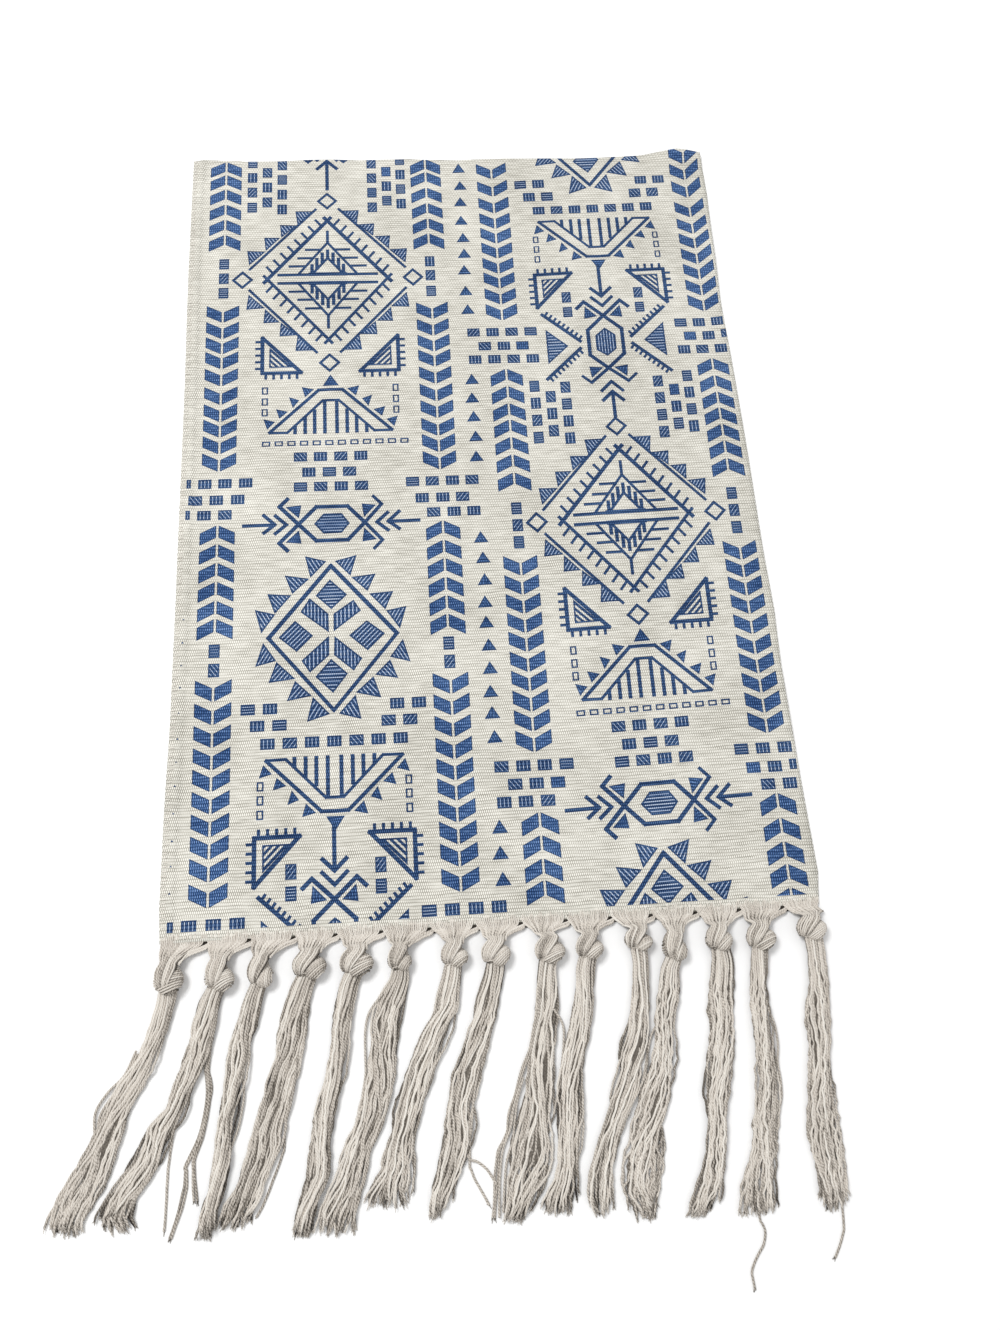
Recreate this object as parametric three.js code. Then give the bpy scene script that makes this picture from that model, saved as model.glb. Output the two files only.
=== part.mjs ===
// Woven cotton wall panel lying flat on a surface, with fifteen knotted warp-end
// tassels along its lower edge. Millimetres, +Z up, front of the cloth upwards,
// tassels towards -Y. The origin is the centre of the footprint, on the surface.
import * as THREE from 'three';

// ---------------------------------------------------------------- sizes
const CLOTH_THICKNESS = 2.0;        // heavy cotton canvas
const HEM_THICKNESS = 3.0;          // turned and stitched hem down the left side
const HEM_WIDTH = 9.5;
const HEM_STEP = 1.2;               // slope from the hem down to the single cloth
const PANEL_COLUMNS = 20;           // facets across the single cloth
const PANEL_ROWS = 30;              // facets down the cloth
const TASSEL_SIDES = 10;            // facets round a tassel
const YARN_SIDES = 8;               // facets round a loose yarn
const PIECE_GAP = 0.3;              // free space between touching pieces
const KNOT_THICKNESS = 15.0;
const NECK_THICKNESS = 7.5;         // where the gathered ends run into the knot
const TAIL_SECTION_AREA = 84.0;     // square mm of yarn in a tail, with its air
const TAIL_END_THICKNESS = 3.0;
const KNOT_LEAD = 0.6;              // how far before its first row a knot begins to swell,
const KNOT_TRAIL = 0.6;             // and how far after its last row it ends, in rows

// ---------------------------------------------------------------- outline
// Positions below are on the lying cloth: x to the right of its left side and
// y down from its top edge. Each curve is a list of [along, across] points.
const LEFT_SIDE = [
  [0, 0.5], [120, -0.9], [240, -0.2], [450, -0.9],
  [560, -1.5], [640, -3.2], [700, -4.2], [727, -2.8],
];
const RIGHT_SIDE = [
  [0, 493.2], [40, 495.0], [100, 492.6], [165, 491.5], [220, 493.3], [330, 495.0], [430, 495.2],
  [485, 496.8], [540, 494.8], [625, 496.5], [700, 499.0], [716, 498.6], [727, 495.6],
];
const TOP_EDGE = [
  [0, 3.6], [6, 1.0], [25, 3.4], [80, 3.1], [120, 1.2], [155, 2.8], [200, 1.8], [245, 5.6],
  [300, 2.8], [370, 3.6], [420, 2.0], [460, -1.2], [484, -2.7], [490, -1.6], [494, 1.2],
];
const LOWER_EDGE = 727.0;

// Where the cloth stands a little clear of the surface: centre, reach and height.
const LIFTS = [
  { x: 472, y: -4, reachX: 44, reachY: 30, height: 6.0 },
  { x: 500, y: 128, reachX: 26, reachY: 75, height: 2.6 },
  { x: 500, y: 560, reachX: 20, reachY: 70, height: 1.6 },
  { x: -6, y: 618, reachX: 20, reachY: 70, height: 1.8 },
  { x: 245, y: 0, reachX: 60, reachY: 16, height: 1.6 },
];

// ---------------------------------------------------------------- tassels
// Each tassel is one bundle of the cloth's own warp ends: it starts flat along the
// lower edge, is gathered, goes through an overhand knot and ends in a loose tail.
// A row is [y, left, right]: the bundle's outline. gather runs from the cloth to
// the knot, knot is the knot itself, and tail runs from the knot to the cut ends.
const TASSELS = [
  {
    gather: [[731, -2.6, 25], [736, -1.5, 15.5]],
    knot: [
      [740.5, -1.5, 14], [745, -4.5, 16.8], [751, -6.3, 17.2],
      [757, -6.0, 15], [762, -4.4, 11.5],
    ],
    tail: [
      [768, -3.4, 10.8], [785, -8.5, 6.2], [805, -16.5, -2.2], [822, -30, -7.5], [850, -42, -21],
      [875, -56.5, -29], [900, -71.5, -38], [908, -73.5, -42], [914, -68, -46],
    ],
  },
  {
    gather: [[731, 31, 56], [735.5, 31.5, 49.5]],
    knot: [
      [739.5, 31, 47.5], [745, 30.2, 51], [751, 30.6, 52.6],
      [757, 32, 50.6], [762, 30.6, 46.5],
    ],
    tail: [
      [769, 26, 43.5], [785, 20.8, 40], [805, 16.8, 36], [825, 11.5, 26], [840, 5.5, 20],
      [851, -7, 15], [875, -20, 3], [895, -34, -9.5], [906, -37.5, -13.5], [915, -27, -16],
    ],
  },
  {
    gather: [[731, 62.5, 88], [735.5, 62.5, 82.6]],
    knot: [
      [739.5, 62, 81.5], [744.5, 61.5, 82.3], [750, 62.2, 82.4],
      [756, 62.8, 79], [761, 61.6, 74.8],
    ],
    tail: [
      [768, 59, 73.4], [790, 51, 69], [805, 47.8, 65], [822, 46.6, 60.2], [850, 42, 53.5],
      [875, 39.6, 52.4], [895, 35, 48], [908, 31.4, 43.4], [918, 30.4, 41.6], [923, 32, 39],
    ],
  },
  {
    gather: [[731, 97, 119.5], [735, 97.5, 115.8]],
    knot: [
      [738.5, 97, 117.5], [743, 96.5, 120.3], [748, 97.2, 119.2],
      [752.5, 97, 115.5], [757, 94, 112.4],
    ],
    tail: [
      [764, 90.6, 111], [785, 84.8, 106.2], [805, 81.2, 103.2], [830, 74, 98.2], [850, 68.5, 92],
      [872, 61, 85], [890, 54, 77], [901, 47.8, 73], [910, 44.4, 69], [918, 46, 61],
    ],
  },
  {
    gather: [[731, 129.6, 152], [735, 129.2, 147.4]],
    knot: [
      [738.5, 128.4, 149.4], [743, 128.9, 153.8], [748, 130.6, 154],
      [752.5, 131, 150], [757, 129.4, 145.6],
    ],
    tail: [
      [764, 127, 143], [785, 122.8, 137.8], [805, 120.6, 135], [830, 115.4, 131],
      [852, 108.4, 124.4], [870, 106, 121.5], [890, 103.4, 120.4], [908, 96.8, 112.4],
      [920, 92.6, 109.8], [926, 95, 107],
    ],
  },
  {
    gather: [[731, 162.2, 189], [735, 163, 184.2]],
    knot: [
      [738.5, 163, 182.4], [743, 163.2, 183.8], [748, 164.4, 184],
      [752, 166, 183], [756, 167, 181.4],
    ],
    tail: [
      [762, 163.8, 181], [776, 153.4, 178.6], [790, 149.4, 174], [805, 150, 170.6],
      [830, 145.4, 167.4], [850, 139.8, 162], [875, 128.4, 152.4], [895, 120.4, 145.4],
      [910, 113.2, 139.6], [921, 111.4, 137.6], [927, 115, 133],
    ],
  },
  {
    gather: [[731, 201, 224], [735, 202.5, 219.4]],
    knot: [
      [738.5, 202.4, 221], [743, 203.2, 224.6], [748, 205, 224.4],
      [751.5, 206, 222], [755.5, 204.8, 219.4],
    ],
    tail: [
      [763, 203, 218.8], [785, 195.4, 215.6], [805, 184.6, 206],
      [830, 173.8, 194.4], [850, 167.4, 187], [875, 157.4, 181.6],
      [895, 149.8, 179.2], [905, 144, 177.4], [913, 147, 172],
    ],
  },
  {
    gather: [[731, 233, 257.6], [735, 233.4, 251.4]],
    knot: [
      [738.5, 232.6, 253], [743, 232.6, 256.4], [748, 235, 256.6],
      [752, 237.2, 254.2], [756, 236.8, 251.8],
    ],
    tail: [
      [763, 233.6, 250.6], [785, 225.6, 245.4], [805, 218, 238],
      [830, 207.4, 231.2], [850, 203.4, 224], [875, 197.4, 219.6],
      [895, 190.2, 211.6], [910, 186.6, 204], [921, 188, 198],
    ],
  },
  {
    gather: [[731, 270.4, 290], [735, 271.4, 285.4]],
    knot: [
      [739, 272, 288.4], [743.5, 273.2, 294.2], [748.5, 275.2, 296.6],
      [752.5, 275.6, 293.4], [756.5, 275, 289.6],
    ],
    tail: [
      [764, 274.2, 289.2], [785, 271, 289.4], [805, 266.6, 286.8], [830, 262.4, 283.2],
      [850, 258, 280.6], [872, 251.6, 279.2], [892, 244.4, 276.8], [903, 240.4, 272.8],
      [913, 238, 265.4], [922, 236.8, 259], [929, 241, 252],
    ],
  },
  {
    gather: [[731, 302, 326], [735, 303, 320]],
    knot: [
      [738.5, 303.2, 323.2], [743, 303.6, 326], [748, 304.2, 326],
      [752, 304.4, 323.6], [756, 304, 319.4],
    ],
    tail: [
      [764, 302.6, 318.4], [785, 299.6, 316], [805, 294.6, 311.8], [822, 287.8, 307],
      [850, 283, 302], [875, 280.8, 298.6], [893, 278.2, 296], [905, 274.4, 293],
      [917, 266.4, 290.2], [925, 269, 285],
    ],
  },
  {
    gather: [[730.5, 337.4, 358.4], [734, 339.6, 356.6]],
    knot: [
      [737, 340, 360.6], [740.5, 340.6, 363.4], [744.5, 342.4, 363],
      [748, 345, 360.4], [752, 345.8, 358.6],
    ],
    tail: [
      [762, 345.8, 358.6], [785, 342.8, 356.8], [805, 338.2, 355.2], [820, 332.6, 352.6],
      [840, 325.4, 346.2], [860, 319, 336.4], [880, 309.6, 326.4], [900, 300, 320],
      [917, 296, 317], [928, 301, 312],
    ],
  },
  {
    gather: [[731, 368.6, 392], [735, 371, 387.4]],
    knot: [
      [740, 371, 389], [746, 371.2, 390], [752, 371.6, 390.6],
      [757, 370.6, 389.8], [761.5, 368.4, 383],
    ],
    tail: [
      [768, 365.8, 381.8], [785, 362.4, 380], [805, 357.8, 375.2], [822, 354.4, 372],
      [840, 348.6, 368.4], [860, 339.4, 363.4], [880, 329.2, 360.4], [900, 323.4, 354.8],
      [913, 322.4, 353], [926, 327.6, 349], [934, 333, 345],
    ],
  },
  {
    gather: [[731, 402, 427], [735, 403, 423.6]],
    knot: [
      [738.5, 402.4, 424.2], [743, 401.7, 424.8], [747.5, 403.4, 424.6],
      [751.5, 405.6, 423.8], [756, 406.6, 423.6],
    ],
    tail: [
      [764, 405.6, 424], [785, 400.8, 422.4], [805, 397.2, 419.6], [822, 395, 417], [850, 391, 409],
      [875, 390, 404.4], [895, 385, 400], [912, 376.6, 397.8], [926, 368.6, 391.4], [934, 371, 383],
    ],
  },
  {
    gather: [[731, 434, 461], [735.5, 433.4, 454.6]],
    knot: [
      [739, 433, 453.4], [743.5, 433.6, 456.8], [748.5, 435, 457.4],
      [753, 436.6, 455.4], [757, 436.4, 451.6],
    ],
    tail: [
      [764, 435.8, 450.6], [785, 432.6, 447.8], [805, 430.4, 444.8], [830, 429.4, 443],
      [850, 430, 444.6], [862, 426.4, 446], [880, 419.8, 442.4], [900, 414, 437.6],
      [916, 407.8, 434.4], [928, 405, 432.4], [936, 408, 428],
    ],
  },
  {
    gather: [[730, 472, 495.6], [732.5, 472.6, 496.4]],
    knot: [
      [735.5, 472.6, 497.8], [740, 473.4, 498.2], [744, 476, 498],
      [748, 479, 496.6], [752, 480, 495],
    ],
    tail: [
      [762, 480, 494.5], [785, 478, 494.8], [806, 470.8, 491.8], [830, 469.2, 488.2],
      [850, 467.5, 486.2], [872, 462.2, 486], [892, 459.6, 486], [910, 461, 486.4],
      [930, 462, 486.6], [937, 466, 482],
    ],
  },
];
// The corners of the small openings between neighbouring tassels, along the lower edge.
const TASSEL_BORDERS = [
  -2.8, 29.5, 61.5, 94, 125, 159, 195, 229,
  264, 298, 332, 363.5, 398, 432, 466, 495.6,
];
const OPENING_WIDTH = 0.8;

// Yarns that lie apart from their tassel: thickness and the centre line, as [y, x].
const LOOSE_YARNS = [
  {
    name: 'loose_yarns_02a',
    width: 3.6,
    line: [[815, 33.6], [828, 36], [845, 34.4], [860, 30.6], [873, 25.6], [886, 26.4], [900, 27.8]],
  },
  { name: 'loose_yarns_02b', width: 3.4, line: [[876, 20.6], [890, 21], [904, 17.6], [922, 11.6]] },
  { name: 'loose_yarns_02c', width: 2.8, line: [[866, 9.8], [878, 8], [897, 8.4], [917, 6.8]] },
  {
    name: 'loose_yarns_04',
    width: 3.2,
    line: [[870, 88.3], [885, 82.9], [898, 77.9], [907, 73.1], [913, 68.9]],
  },
  {
    name: 'loose_yarns_08',
    width: 2.8,
    line: [[890, 217.2], [900, 220.6], [910, 225.6], [917, 229.2]],
  },
  {
    name: 'loose_yarns_09',
    width: 3.8,
    line: [[846, 253.6], [860, 247.8], [872, 245.4], [883, 238.4], [903, 235], [925, 232.4]],
  },
  {
    name: 'loose_yarns_14',
    width: 2.4,
    line: [[938, 418.8], [947, 421.6], [955, 419.2], [964, 412.6], [971, 408.8], [982, 409.2]],
  },
  { name: 'loose_yarns_15', width: 2.4, line: [[939, 479], [950, 477.4], [960, 473], [967, 469]] },
];

const CLOTH_COLOUR = 0xe3dccb;
const YARN_COLOUR = 0xd2c8b8;

// ---------------------------------------------------------------- helpers
function mix(a, b, t) {
  return a + (b - a) * t;
}

// The value of a piecewise straight curve given as [along, across] points.
function follow(curve, along) {
  for (let i = 1; i < curve.length; i += 1) {
    if (along <= curve[i][0] || i === curve.length - 1) {
      const [a0, b0] = curve[i - 1];
      const [a1, b1] = curve[i];
      const t = THREE.MathUtils.clamp((along - a0) / (a1 - a0), 0, 1);
      return mix(b0, b1, t);
    }
  }
  return curve[0][1];
}

// One cosine hill for each lift, nothing outside its reach.
function liftAt(x, y) {
  let height = 0;
  for (const lift of LIFTS) {
    const r = Math.min(1, Math.hypot((x - lift.x) / lift.reachX, (y - lift.y) / lift.reachY));
    height += lift.height * 0.5 * (1 + Math.cos(Math.PI * r));
  }
  return height;
}

function clothThickness(fromLeft) {
  const t = THREE.MathUtils.clamp((fromLeft - HEM_WIDTH) / HEM_STEP, 0, 1);
  return mix(HEM_THICKNESS, CLOTH_THICKNESS, t);
}

function meshOf(name, vertices, triangles, colour) {
  const geometry = new THREE.BufferGeometry();
  geometry.setAttribute('position', new THREE.Float32BufferAttribute(vertices.flat(), 3));
  geometry.setIndex(triangles.flat());
  geometry.computeVertexNormals();
  const material = new THREE.MeshStandardMaterial({ color: colour, roughness: 0.95, metalness: 0 });
  const mesh = new THREE.Mesh(geometry, material);
  mesh.name = name;
  return mesh;
}

// ---------------------------------------------------------------- panel
// A closed sheet: a grid of points on its front, the same grid on its back, and
// a strip all round that joins them.
function panel() {
  const columns = [0, HEM_WIDTH, HEM_WIDTH + HEM_STEP];
  const single = columns.length - 1;
  const across = single + PANEL_COLUMNS;
  const front = [];
  const back = [];
  for (let row = 0; row <= PANEL_ROWS; row += 1) {
    for (let column = 0; column <= across; column += 1) {
      const v = row / PANEL_ROWS;
      const roughY = v * LOWER_EDGE;
      const left = follow(LEFT_SIDE, roughY);
      const right = follow(RIGHT_SIDE, roughY);
      const start = left + columns[Math.min(column, single)];
      const x = column <= single ? start : mix(start, right, (column - single) / PANEL_COLUMNS);
      const y = mix(follow(TOP_EDGE, x), LOWER_EDGE, v);
      const bottom = liftAt(x, y);
      back.push([x, -y, bottom]);
      front.push([x, -y, bottom + clothThickness(x - left)]);
    }
  }
  const width = across + 1;
  const at = (row, column) => row * width + column;
  const offset = front.length;
  const triangles = [];
  for (let row = 0; row < PANEL_ROWS; row += 1) {
    for (let column = 0; column < across; column += 1) {
      const a = at(row, column);
      const b = at(row + 1, column);
      const c = at(row + 1, column + 1);
      const d = at(row, column + 1);
      triangles.push([a, b, c], [a, c, d]);
      triangles.push([offset + a, offset + c, offset + b], [offset + a, offset + d, offset + c]);
    }
  }
  const rim = [];
  for (let row = 0; row < PANEL_ROWS; row += 1) rim.push(at(row, 0));
  for (let column = 0; column < across; column += 1) rim.push(at(PANEL_ROWS, column));
  for (let row = PANEL_ROWS; row > 0; row -= 1) rim.push(at(row, across));
  for (let column = across; column > 0; column -= 1) rim.push(at(0, column));
  for (let i = 0; i < rim.length; i += 1) {
    const a = rim[i];
    const b = rim[(i + 1) % rim.length];
    triangles.push([a, offset + a, offset + b], [a, offset + b, b]);
  }
  return meshOf('panel', [...front, ...back], triangles, CLOTH_COLOUR);
}

// ---------------------------------------------------------------- bundles
// A ring of points that reaches from -1 to 1 both ways, with a flat side at its foot.
function ring(sides) {
  const points = [];
  for (let i = 0; i < sides; i += 1) {
    const angle = (2 * Math.PI * (i + 0.5)) / sides - Math.PI / 2;
    points.push([Math.cos(angle), Math.sin(angle)]);
  }
  const reachAcross = Math.max(...points.map(([across]) => across));
  const reachUp = Math.max(...points.map(([, up]) => up));
  return points.map(([across, up]) => [across / reachAcross, up / reachUp]);
}

// A closed bundle of yarns lying on the surface: an oval at each section
// { y, left, right, thickness }, joined in order, with a flat cap at each end.
function bundle(name, sections, sides) {
  const oval = ring(sides);
  const vertices = [];
  for (const section of sections) {
    const centre = (section.left + section.right) / 2;
    const halfWidth = (section.right - section.left) / 2;
    const halfThickness = section.thickness / 2;
    for (const [across, up] of oval) {
      vertices.push([centre + halfWidth * across, -section.y, halfThickness * (1 + up)]);
    }
  }
  const triangles = [];
  for (let s = 0; s + 1 < sections.length; s += 1) {
    for (let i = 0; i < sides; i += 1) {
      const a = s * sides + i;
      const b = s * sides + ((i + 1) % sides);
      triangles.push([a, b + sides, a + sides], [a, b, b + sides]);
    }
  }
  const last = (sections.length - 1) * sides;
  for (let i = 1; i + 1 < sides; i += 1) {
    triangles.push([0, i + 1, i]);
    triangles.push([last, last + i, last + i + 1]);
  }
  return meshOf(name, vertices, triangles, YARN_COLOUR);
}

// One tassel: flat at the cloth, thick in the knot, and in the tail as thick as
// the same yarn makes it when it spreads to the row's width.
function tassel(number, rows) {
  const left = TASSEL_BORDERS[number - 1] + OPENING_WIDTH / 2;
  const right = TASSEL_BORDERS[number] - OPENING_WIDTH / 2;
  const sections = [{ y: LOWER_EDGE + PIECE_GAP, left, right, thickness: CLOTH_THICKNESS }];
  const add = (row, thickness) => sections.push({ y: row[0], left: row[1], right: row[2], thickness });
  rows.gather.forEach((row, i) => {
    add(row, mix(CLOTH_THICKNESS, NECK_THICKNESS, (i + 1) / rows.gather.length));
  });
  rows.knot.forEach((row, i) => {
    const through = (i + KNOT_LEAD) / (rows.knot.length - 1 + KNOT_LEAD + KNOT_TRAIL);
    const round = Math.sin(Math.PI * through);
    add(row, mix(NECK_THICKNESS, KNOT_THICKNESS, round));
  });
  rows.tail.forEach((row, i) => {
    const spread = (4 * TAIL_SECTION_AREA) / (Math.PI * (row[2] - row[1]));
    add(row, i === rows.tail.length - 1 ? TAIL_END_THICKNESS : spread);
  });
  return bundle(`tassel_${String(number).padStart(2, '0')}`, sections, TASSEL_SIDES);
}

function looseYarns(yarns) {
  const sections = yarns.line.map(([y, x]) => (
    { y, left: x - yarns.width / 2, right: x + yarns.width / 2, thickness: yarns.width }
  ));
  return bundle(yarns.name, sections, YARN_SIDES);
}

// ---------------------------------------------------------------- assembly
const wallPanel = new THREE.Group();
wallPanel.add(panel());
TASSELS.forEach((rows, i) => wallPanel.add(tassel(i + 1, rows)));
LOOSE_YARNS.forEach((yarns) => wallPanel.add(looseYarns(yarns)));

const footprint = new THREE.Box3().setFromObject(wallPanel);
const middle = footprint.getCenter(new THREE.Vector3());
wallPanel.position.set(-middle.x, -middle.y, -footprint.min.z);
wallPanel.updateMatrixWorld(true);

export default wallPanel;
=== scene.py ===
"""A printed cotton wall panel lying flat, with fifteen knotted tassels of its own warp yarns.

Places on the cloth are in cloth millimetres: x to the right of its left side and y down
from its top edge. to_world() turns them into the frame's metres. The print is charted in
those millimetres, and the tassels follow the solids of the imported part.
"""

import math

import bpy
import numpy as np
from mathutils import Matrix, Vector
from mathutils.geometry import delaunay_2d_cdt


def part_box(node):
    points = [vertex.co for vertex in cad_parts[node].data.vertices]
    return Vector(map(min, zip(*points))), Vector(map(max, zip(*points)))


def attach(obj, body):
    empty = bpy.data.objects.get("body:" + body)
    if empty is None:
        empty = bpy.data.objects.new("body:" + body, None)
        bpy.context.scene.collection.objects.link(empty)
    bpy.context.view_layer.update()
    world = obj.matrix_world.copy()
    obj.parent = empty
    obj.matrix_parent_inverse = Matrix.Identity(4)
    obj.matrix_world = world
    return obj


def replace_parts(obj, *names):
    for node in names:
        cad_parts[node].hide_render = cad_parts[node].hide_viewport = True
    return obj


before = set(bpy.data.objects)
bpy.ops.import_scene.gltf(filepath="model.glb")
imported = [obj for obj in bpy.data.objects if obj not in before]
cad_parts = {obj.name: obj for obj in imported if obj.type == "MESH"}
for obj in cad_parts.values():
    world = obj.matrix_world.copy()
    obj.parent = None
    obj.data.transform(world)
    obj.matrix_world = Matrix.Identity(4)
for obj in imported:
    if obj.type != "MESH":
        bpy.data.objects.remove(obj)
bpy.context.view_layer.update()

# ---------------------------------------------------------------- sizes, in millimetres
MM = 0.001
CLOTH_FOOT = 727.0          # y of the cloth's lower edge
CLOTH_REACH_LEFT = -4.056   # x of the leftmost point of the cloth
CLOTH_THICKNESS = 2.0
HEM_THICKNESS = 3.0
HEM_WIDTH = 9.5
HEM_STEP = 1.2
PRINT_FOOT = 719.8          # the print stops here, above the tassels
PRINT_HEAD = -6.0
PRINT_RIGHT = 506.0
GRID_STEP = 6.0             # spacing of the cloth's own points
GRID_START = -10            # x and y of the first of them, clear of the cloth's upper left corner
GRID_WIDTH = 530
GRID_OVERRUN = 20           # rows beyond the lower edge
RIM_MARGIN = 2.0            # between those points and the cloth's edge
SIDE_BULGE = 0.45           # how far the cut side of the cloth is rounded outwards
EDGE_STEP = 4.0             # spacing of points along its edges
YARN_RADIUS = 0.85
TASSEL_COUNT = 15

PANEL_LOW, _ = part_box("panel")


def to_world(x, y, z):
    """A place in cloth millimetres as the frame's metres."""
    return (PANEL_LOW.x + (x - CLOTH_REACH_LEFT) * MM, PANEL_LOW.y + (CLOTH_FOOT - y) * MM, z * MM)


def to_cloth(point):
    """A place in the frame as cloth millimetres."""
    return (
        (point[0] - PANEL_LOW.x) / MM + CLOTH_REACH_LEFT,
        CLOTH_FOOT - (point[1] - PANEL_LOW.y) / MM,
        point[2] / MM,
    )


# ---------------------------------------------------------------- how the cloth lies
# Soft hills where the cloth stands clear of the surface: x, y, reach in x, reach in y, height.
LIFTS = [
    (472, -4, 44, 30, 6.0),
    (500, 128, 26, 75, 2.6),
    (500, 560, 20, 70, 1.6),
    (-6, 618, 20, 70, 1.8),
    (245, 0, 60, 16, 1.6),
]
# Shallow waves over the whole cloth: height, length along x, length along y, phase.
WAVES = [(0.22, 310, 170, 0.4), (0.16, -140, 230, 1.9), (0.10, 75, -120, 4.1)]


def lift_at(x, y):
    height = 0.0
    for cx, cy, reach_x, reach_y, top in LIFTS:
        r = min(1.0, math.hypot((x - cx) / reach_x, (y - cy) / reach_y))
        height += top * 0.5 * (1 + math.cos(math.pi * r))
    return height


def wave_at(x, y):
    turn = 2 * math.pi
    return sum(h * (1 + math.sin(turn * (x / lx + y / ly) + p)) for h, lx, ly, p in WAVES)


def thickness_at(from_left):
    t = min(1.0, max(0.0, (from_left - HEM_WIDTH) / HEM_STEP))
    return HEM_THICKNESS + (CLOTH_THICKNESS - HEM_THICKNESS) * t


# ---------------------------------------------------------------- flat shapes
BARE, LINE, FILL, PALE = range(4)
# The ink spreads in the threads: a stroke prints this many times as wide as drawn, and this much more.
INK_GAIN, INK_SPREAD = 1.18, 1.0
STROKE_OVERRUN = 0.4        # how far a stroke runs on past its ends, as a share of its width
LYING_BLOCK = (11.4, 9.0)   # width and height of the print's small blocks
UPRIGHT_BLOCK = (9.0, 11.6)
BLOCK_STRIPE_ANGLES = {"-": 0, "|": 90, "/": -52, "\\": 52}
BLOCK_STRIPE_PITCHES = {"-": 2.5, "|": 2.9, "/": 2.6, "\\": 2.6}
BLOCK_STRIPE_SHARE = 0.17
FRAME_WIDTH, FRAME_HEIGHT = 1.4, 1.3


def anticlockwise(outline):
    area = sum(a[0] * b[1] - b[0] * a[1] for a, b in zip(outline, outline[1:] + outline[:1]))
    return list(outline) if area > 0 else list(reversed(outline))


def cut(outline, point, normal):
    """The part of a convex outline on the side of the line through point that normal points to."""
    kept = []
    sides = [(x - point[0]) * normal[0] + (y - point[1]) * normal[1] for x, y in outline]
    for i, (x, y) in enumerate(outline):
        j = (i + 1) % len(outline)
        if sides[i] >= 0:
            kept.append((x, y))
        if (sides[i] > 0) != (sides[j] > 0) and sides[i] != sides[j]:
            t = sides[i] / (sides[i] - sides[j])
            kept.append((x + (outline[j][0] - x) * t, y + (outline[j][1] - y) * t))
    return kept if len(kept) > 2 else []


def inset(outline, distance):
    """A convex outline with each side moved inwards."""
    outline = anticlockwise(outline)
    kept = outline
    for (ax, ay), (bx, by) in zip(outline, outline[1:] + outline[:1]):
        length = math.hypot(bx - ax, by - ay)
        normal = (-(by - ay) / length, (bx - ax) / length)
        kept = kept and cut(kept, (ax + normal[0] * distance, ay + normal[1] * distance), normal)
    return kept


def bar(a, b, width, extend=None):
    """A straight stroke from a to b. extend is how far it runs on past each end."""
    width = width * INK_GAIN + INK_SPREAD
    dx, dy = b[0] - a[0], b[1] - a[1]
    length = math.hypot(dx, dy)
    dx, dy = dx / length, dy / length
    over = width * STROKE_OVERRUN if extend is None else extend
    half = width / 2
    a = (a[0] - dx * over, a[1] - dy * over)
    b = (b[0] + dx * over, b[1] + dy * over)
    outline = [
        (a[0] - dy * half, a[1] + dx * half),
        (b[0] - dy * half, b[1] + dx * half),
        (b[0] + dy * half, b[1] - dx * half),
        (a[0] + dy * half, a[1] - dx * half),
    ]
    return [(outline, LINE)]


def strokes(points, width, closed=False):
    """A line of strokes from point to point."""
    ends = points[1:] + (points[:1] if closed else [])
    return [shape for a, b in zip(points, ends) for shape in bar(a, b, width)]


def striped(outline, angle, pitch, share, margin=1.1, tone=PALE):
    """A filled shape with paler stripes inside its border.

    angle is the stripes' own, pitch the way from one to the next, share how much of it they take.
    """
    inner = inset(outline, margin)
    shapes = [(outline, LINE)]
    if not inner:
        return shapes
    along = (math.cos(math.radians(angle)), math.sin(math.radians(angle)))
    across = (-along[1], along[0])
    places = [x * across[0] + y * across[1] for x, y in inner]
    low, high = min(places), max(places)
    count = max(1, int((high - low) / pitch + 0.5))
    step = (high - low) / count
    for i in range(count):
        middle = low + (i + 0.5) * step
        start, end = middle - step * share / 2, middle + step * share / 2
        stripe = cut(inner, (across[0] * start, across[1] * start), across)
        if stripe:
            back = (-across[0], -across[1])
            stripe = cut(stripe, (across[0] * end, across[1] * end), back)
        if stripe:
            shapes.append((stripe, tone))
    return shapes


def box(x, y, width, height):
    return [(x, y), (x + width, y), (x + width, y + height), (x, y + height)]


def mirrored(shapes):
    """Left for right."""
    return [([(-x, y) for x, y in outline], tone) for outline, tone in shapes]


def flipped(shapes):
    """Top for bottom."""
    return [([(x, -y) for x, y in outline], tone) for outline, tone in shapes]


def both_sides(shapes):
    return shapes + mirrored(shapes)


def moved(shapes, dx, dy, tilt=0.0):
    """Shapes in another place. tilt is how far they lean down for each step to the right."""
    return [([(x + dx, y + dy + x * tilt) for x, y in outline], tone) for outline, tone in shapes]


def block(x, y, style, width, height):
    """A small block of the print. style: - | / or \\ for its stripes, # for none, o for a frame."""
    outline = box(x, y, width, height)
    if style == "o":
        hole = box(x + FRAME_WIDTH, y + FRAME_HEIGHT, width - 2 * FRAME_WIDTH, height - 2 * FRAME_HEIGHT)
        return [(outline, LINE), (hole, BARE)]
    if style == "#":
        return striped(outline, 90, pitch=1.9, share=0.5, margin=0.8, tone=FILL)
    return striped(outline, BLOCK_STRIPE_ANGLES[style], BLOCK_STRIPE_PITCHES[style], BLOCK_STRIPE_SHARE)


def row_of(styles, y, places, size=LYING_BLOCK):
    """Blocks side by side. places are their left sides."""
    return [s for style, x in zip(styles, places) for s in block(x, y, style, *size)]


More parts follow.
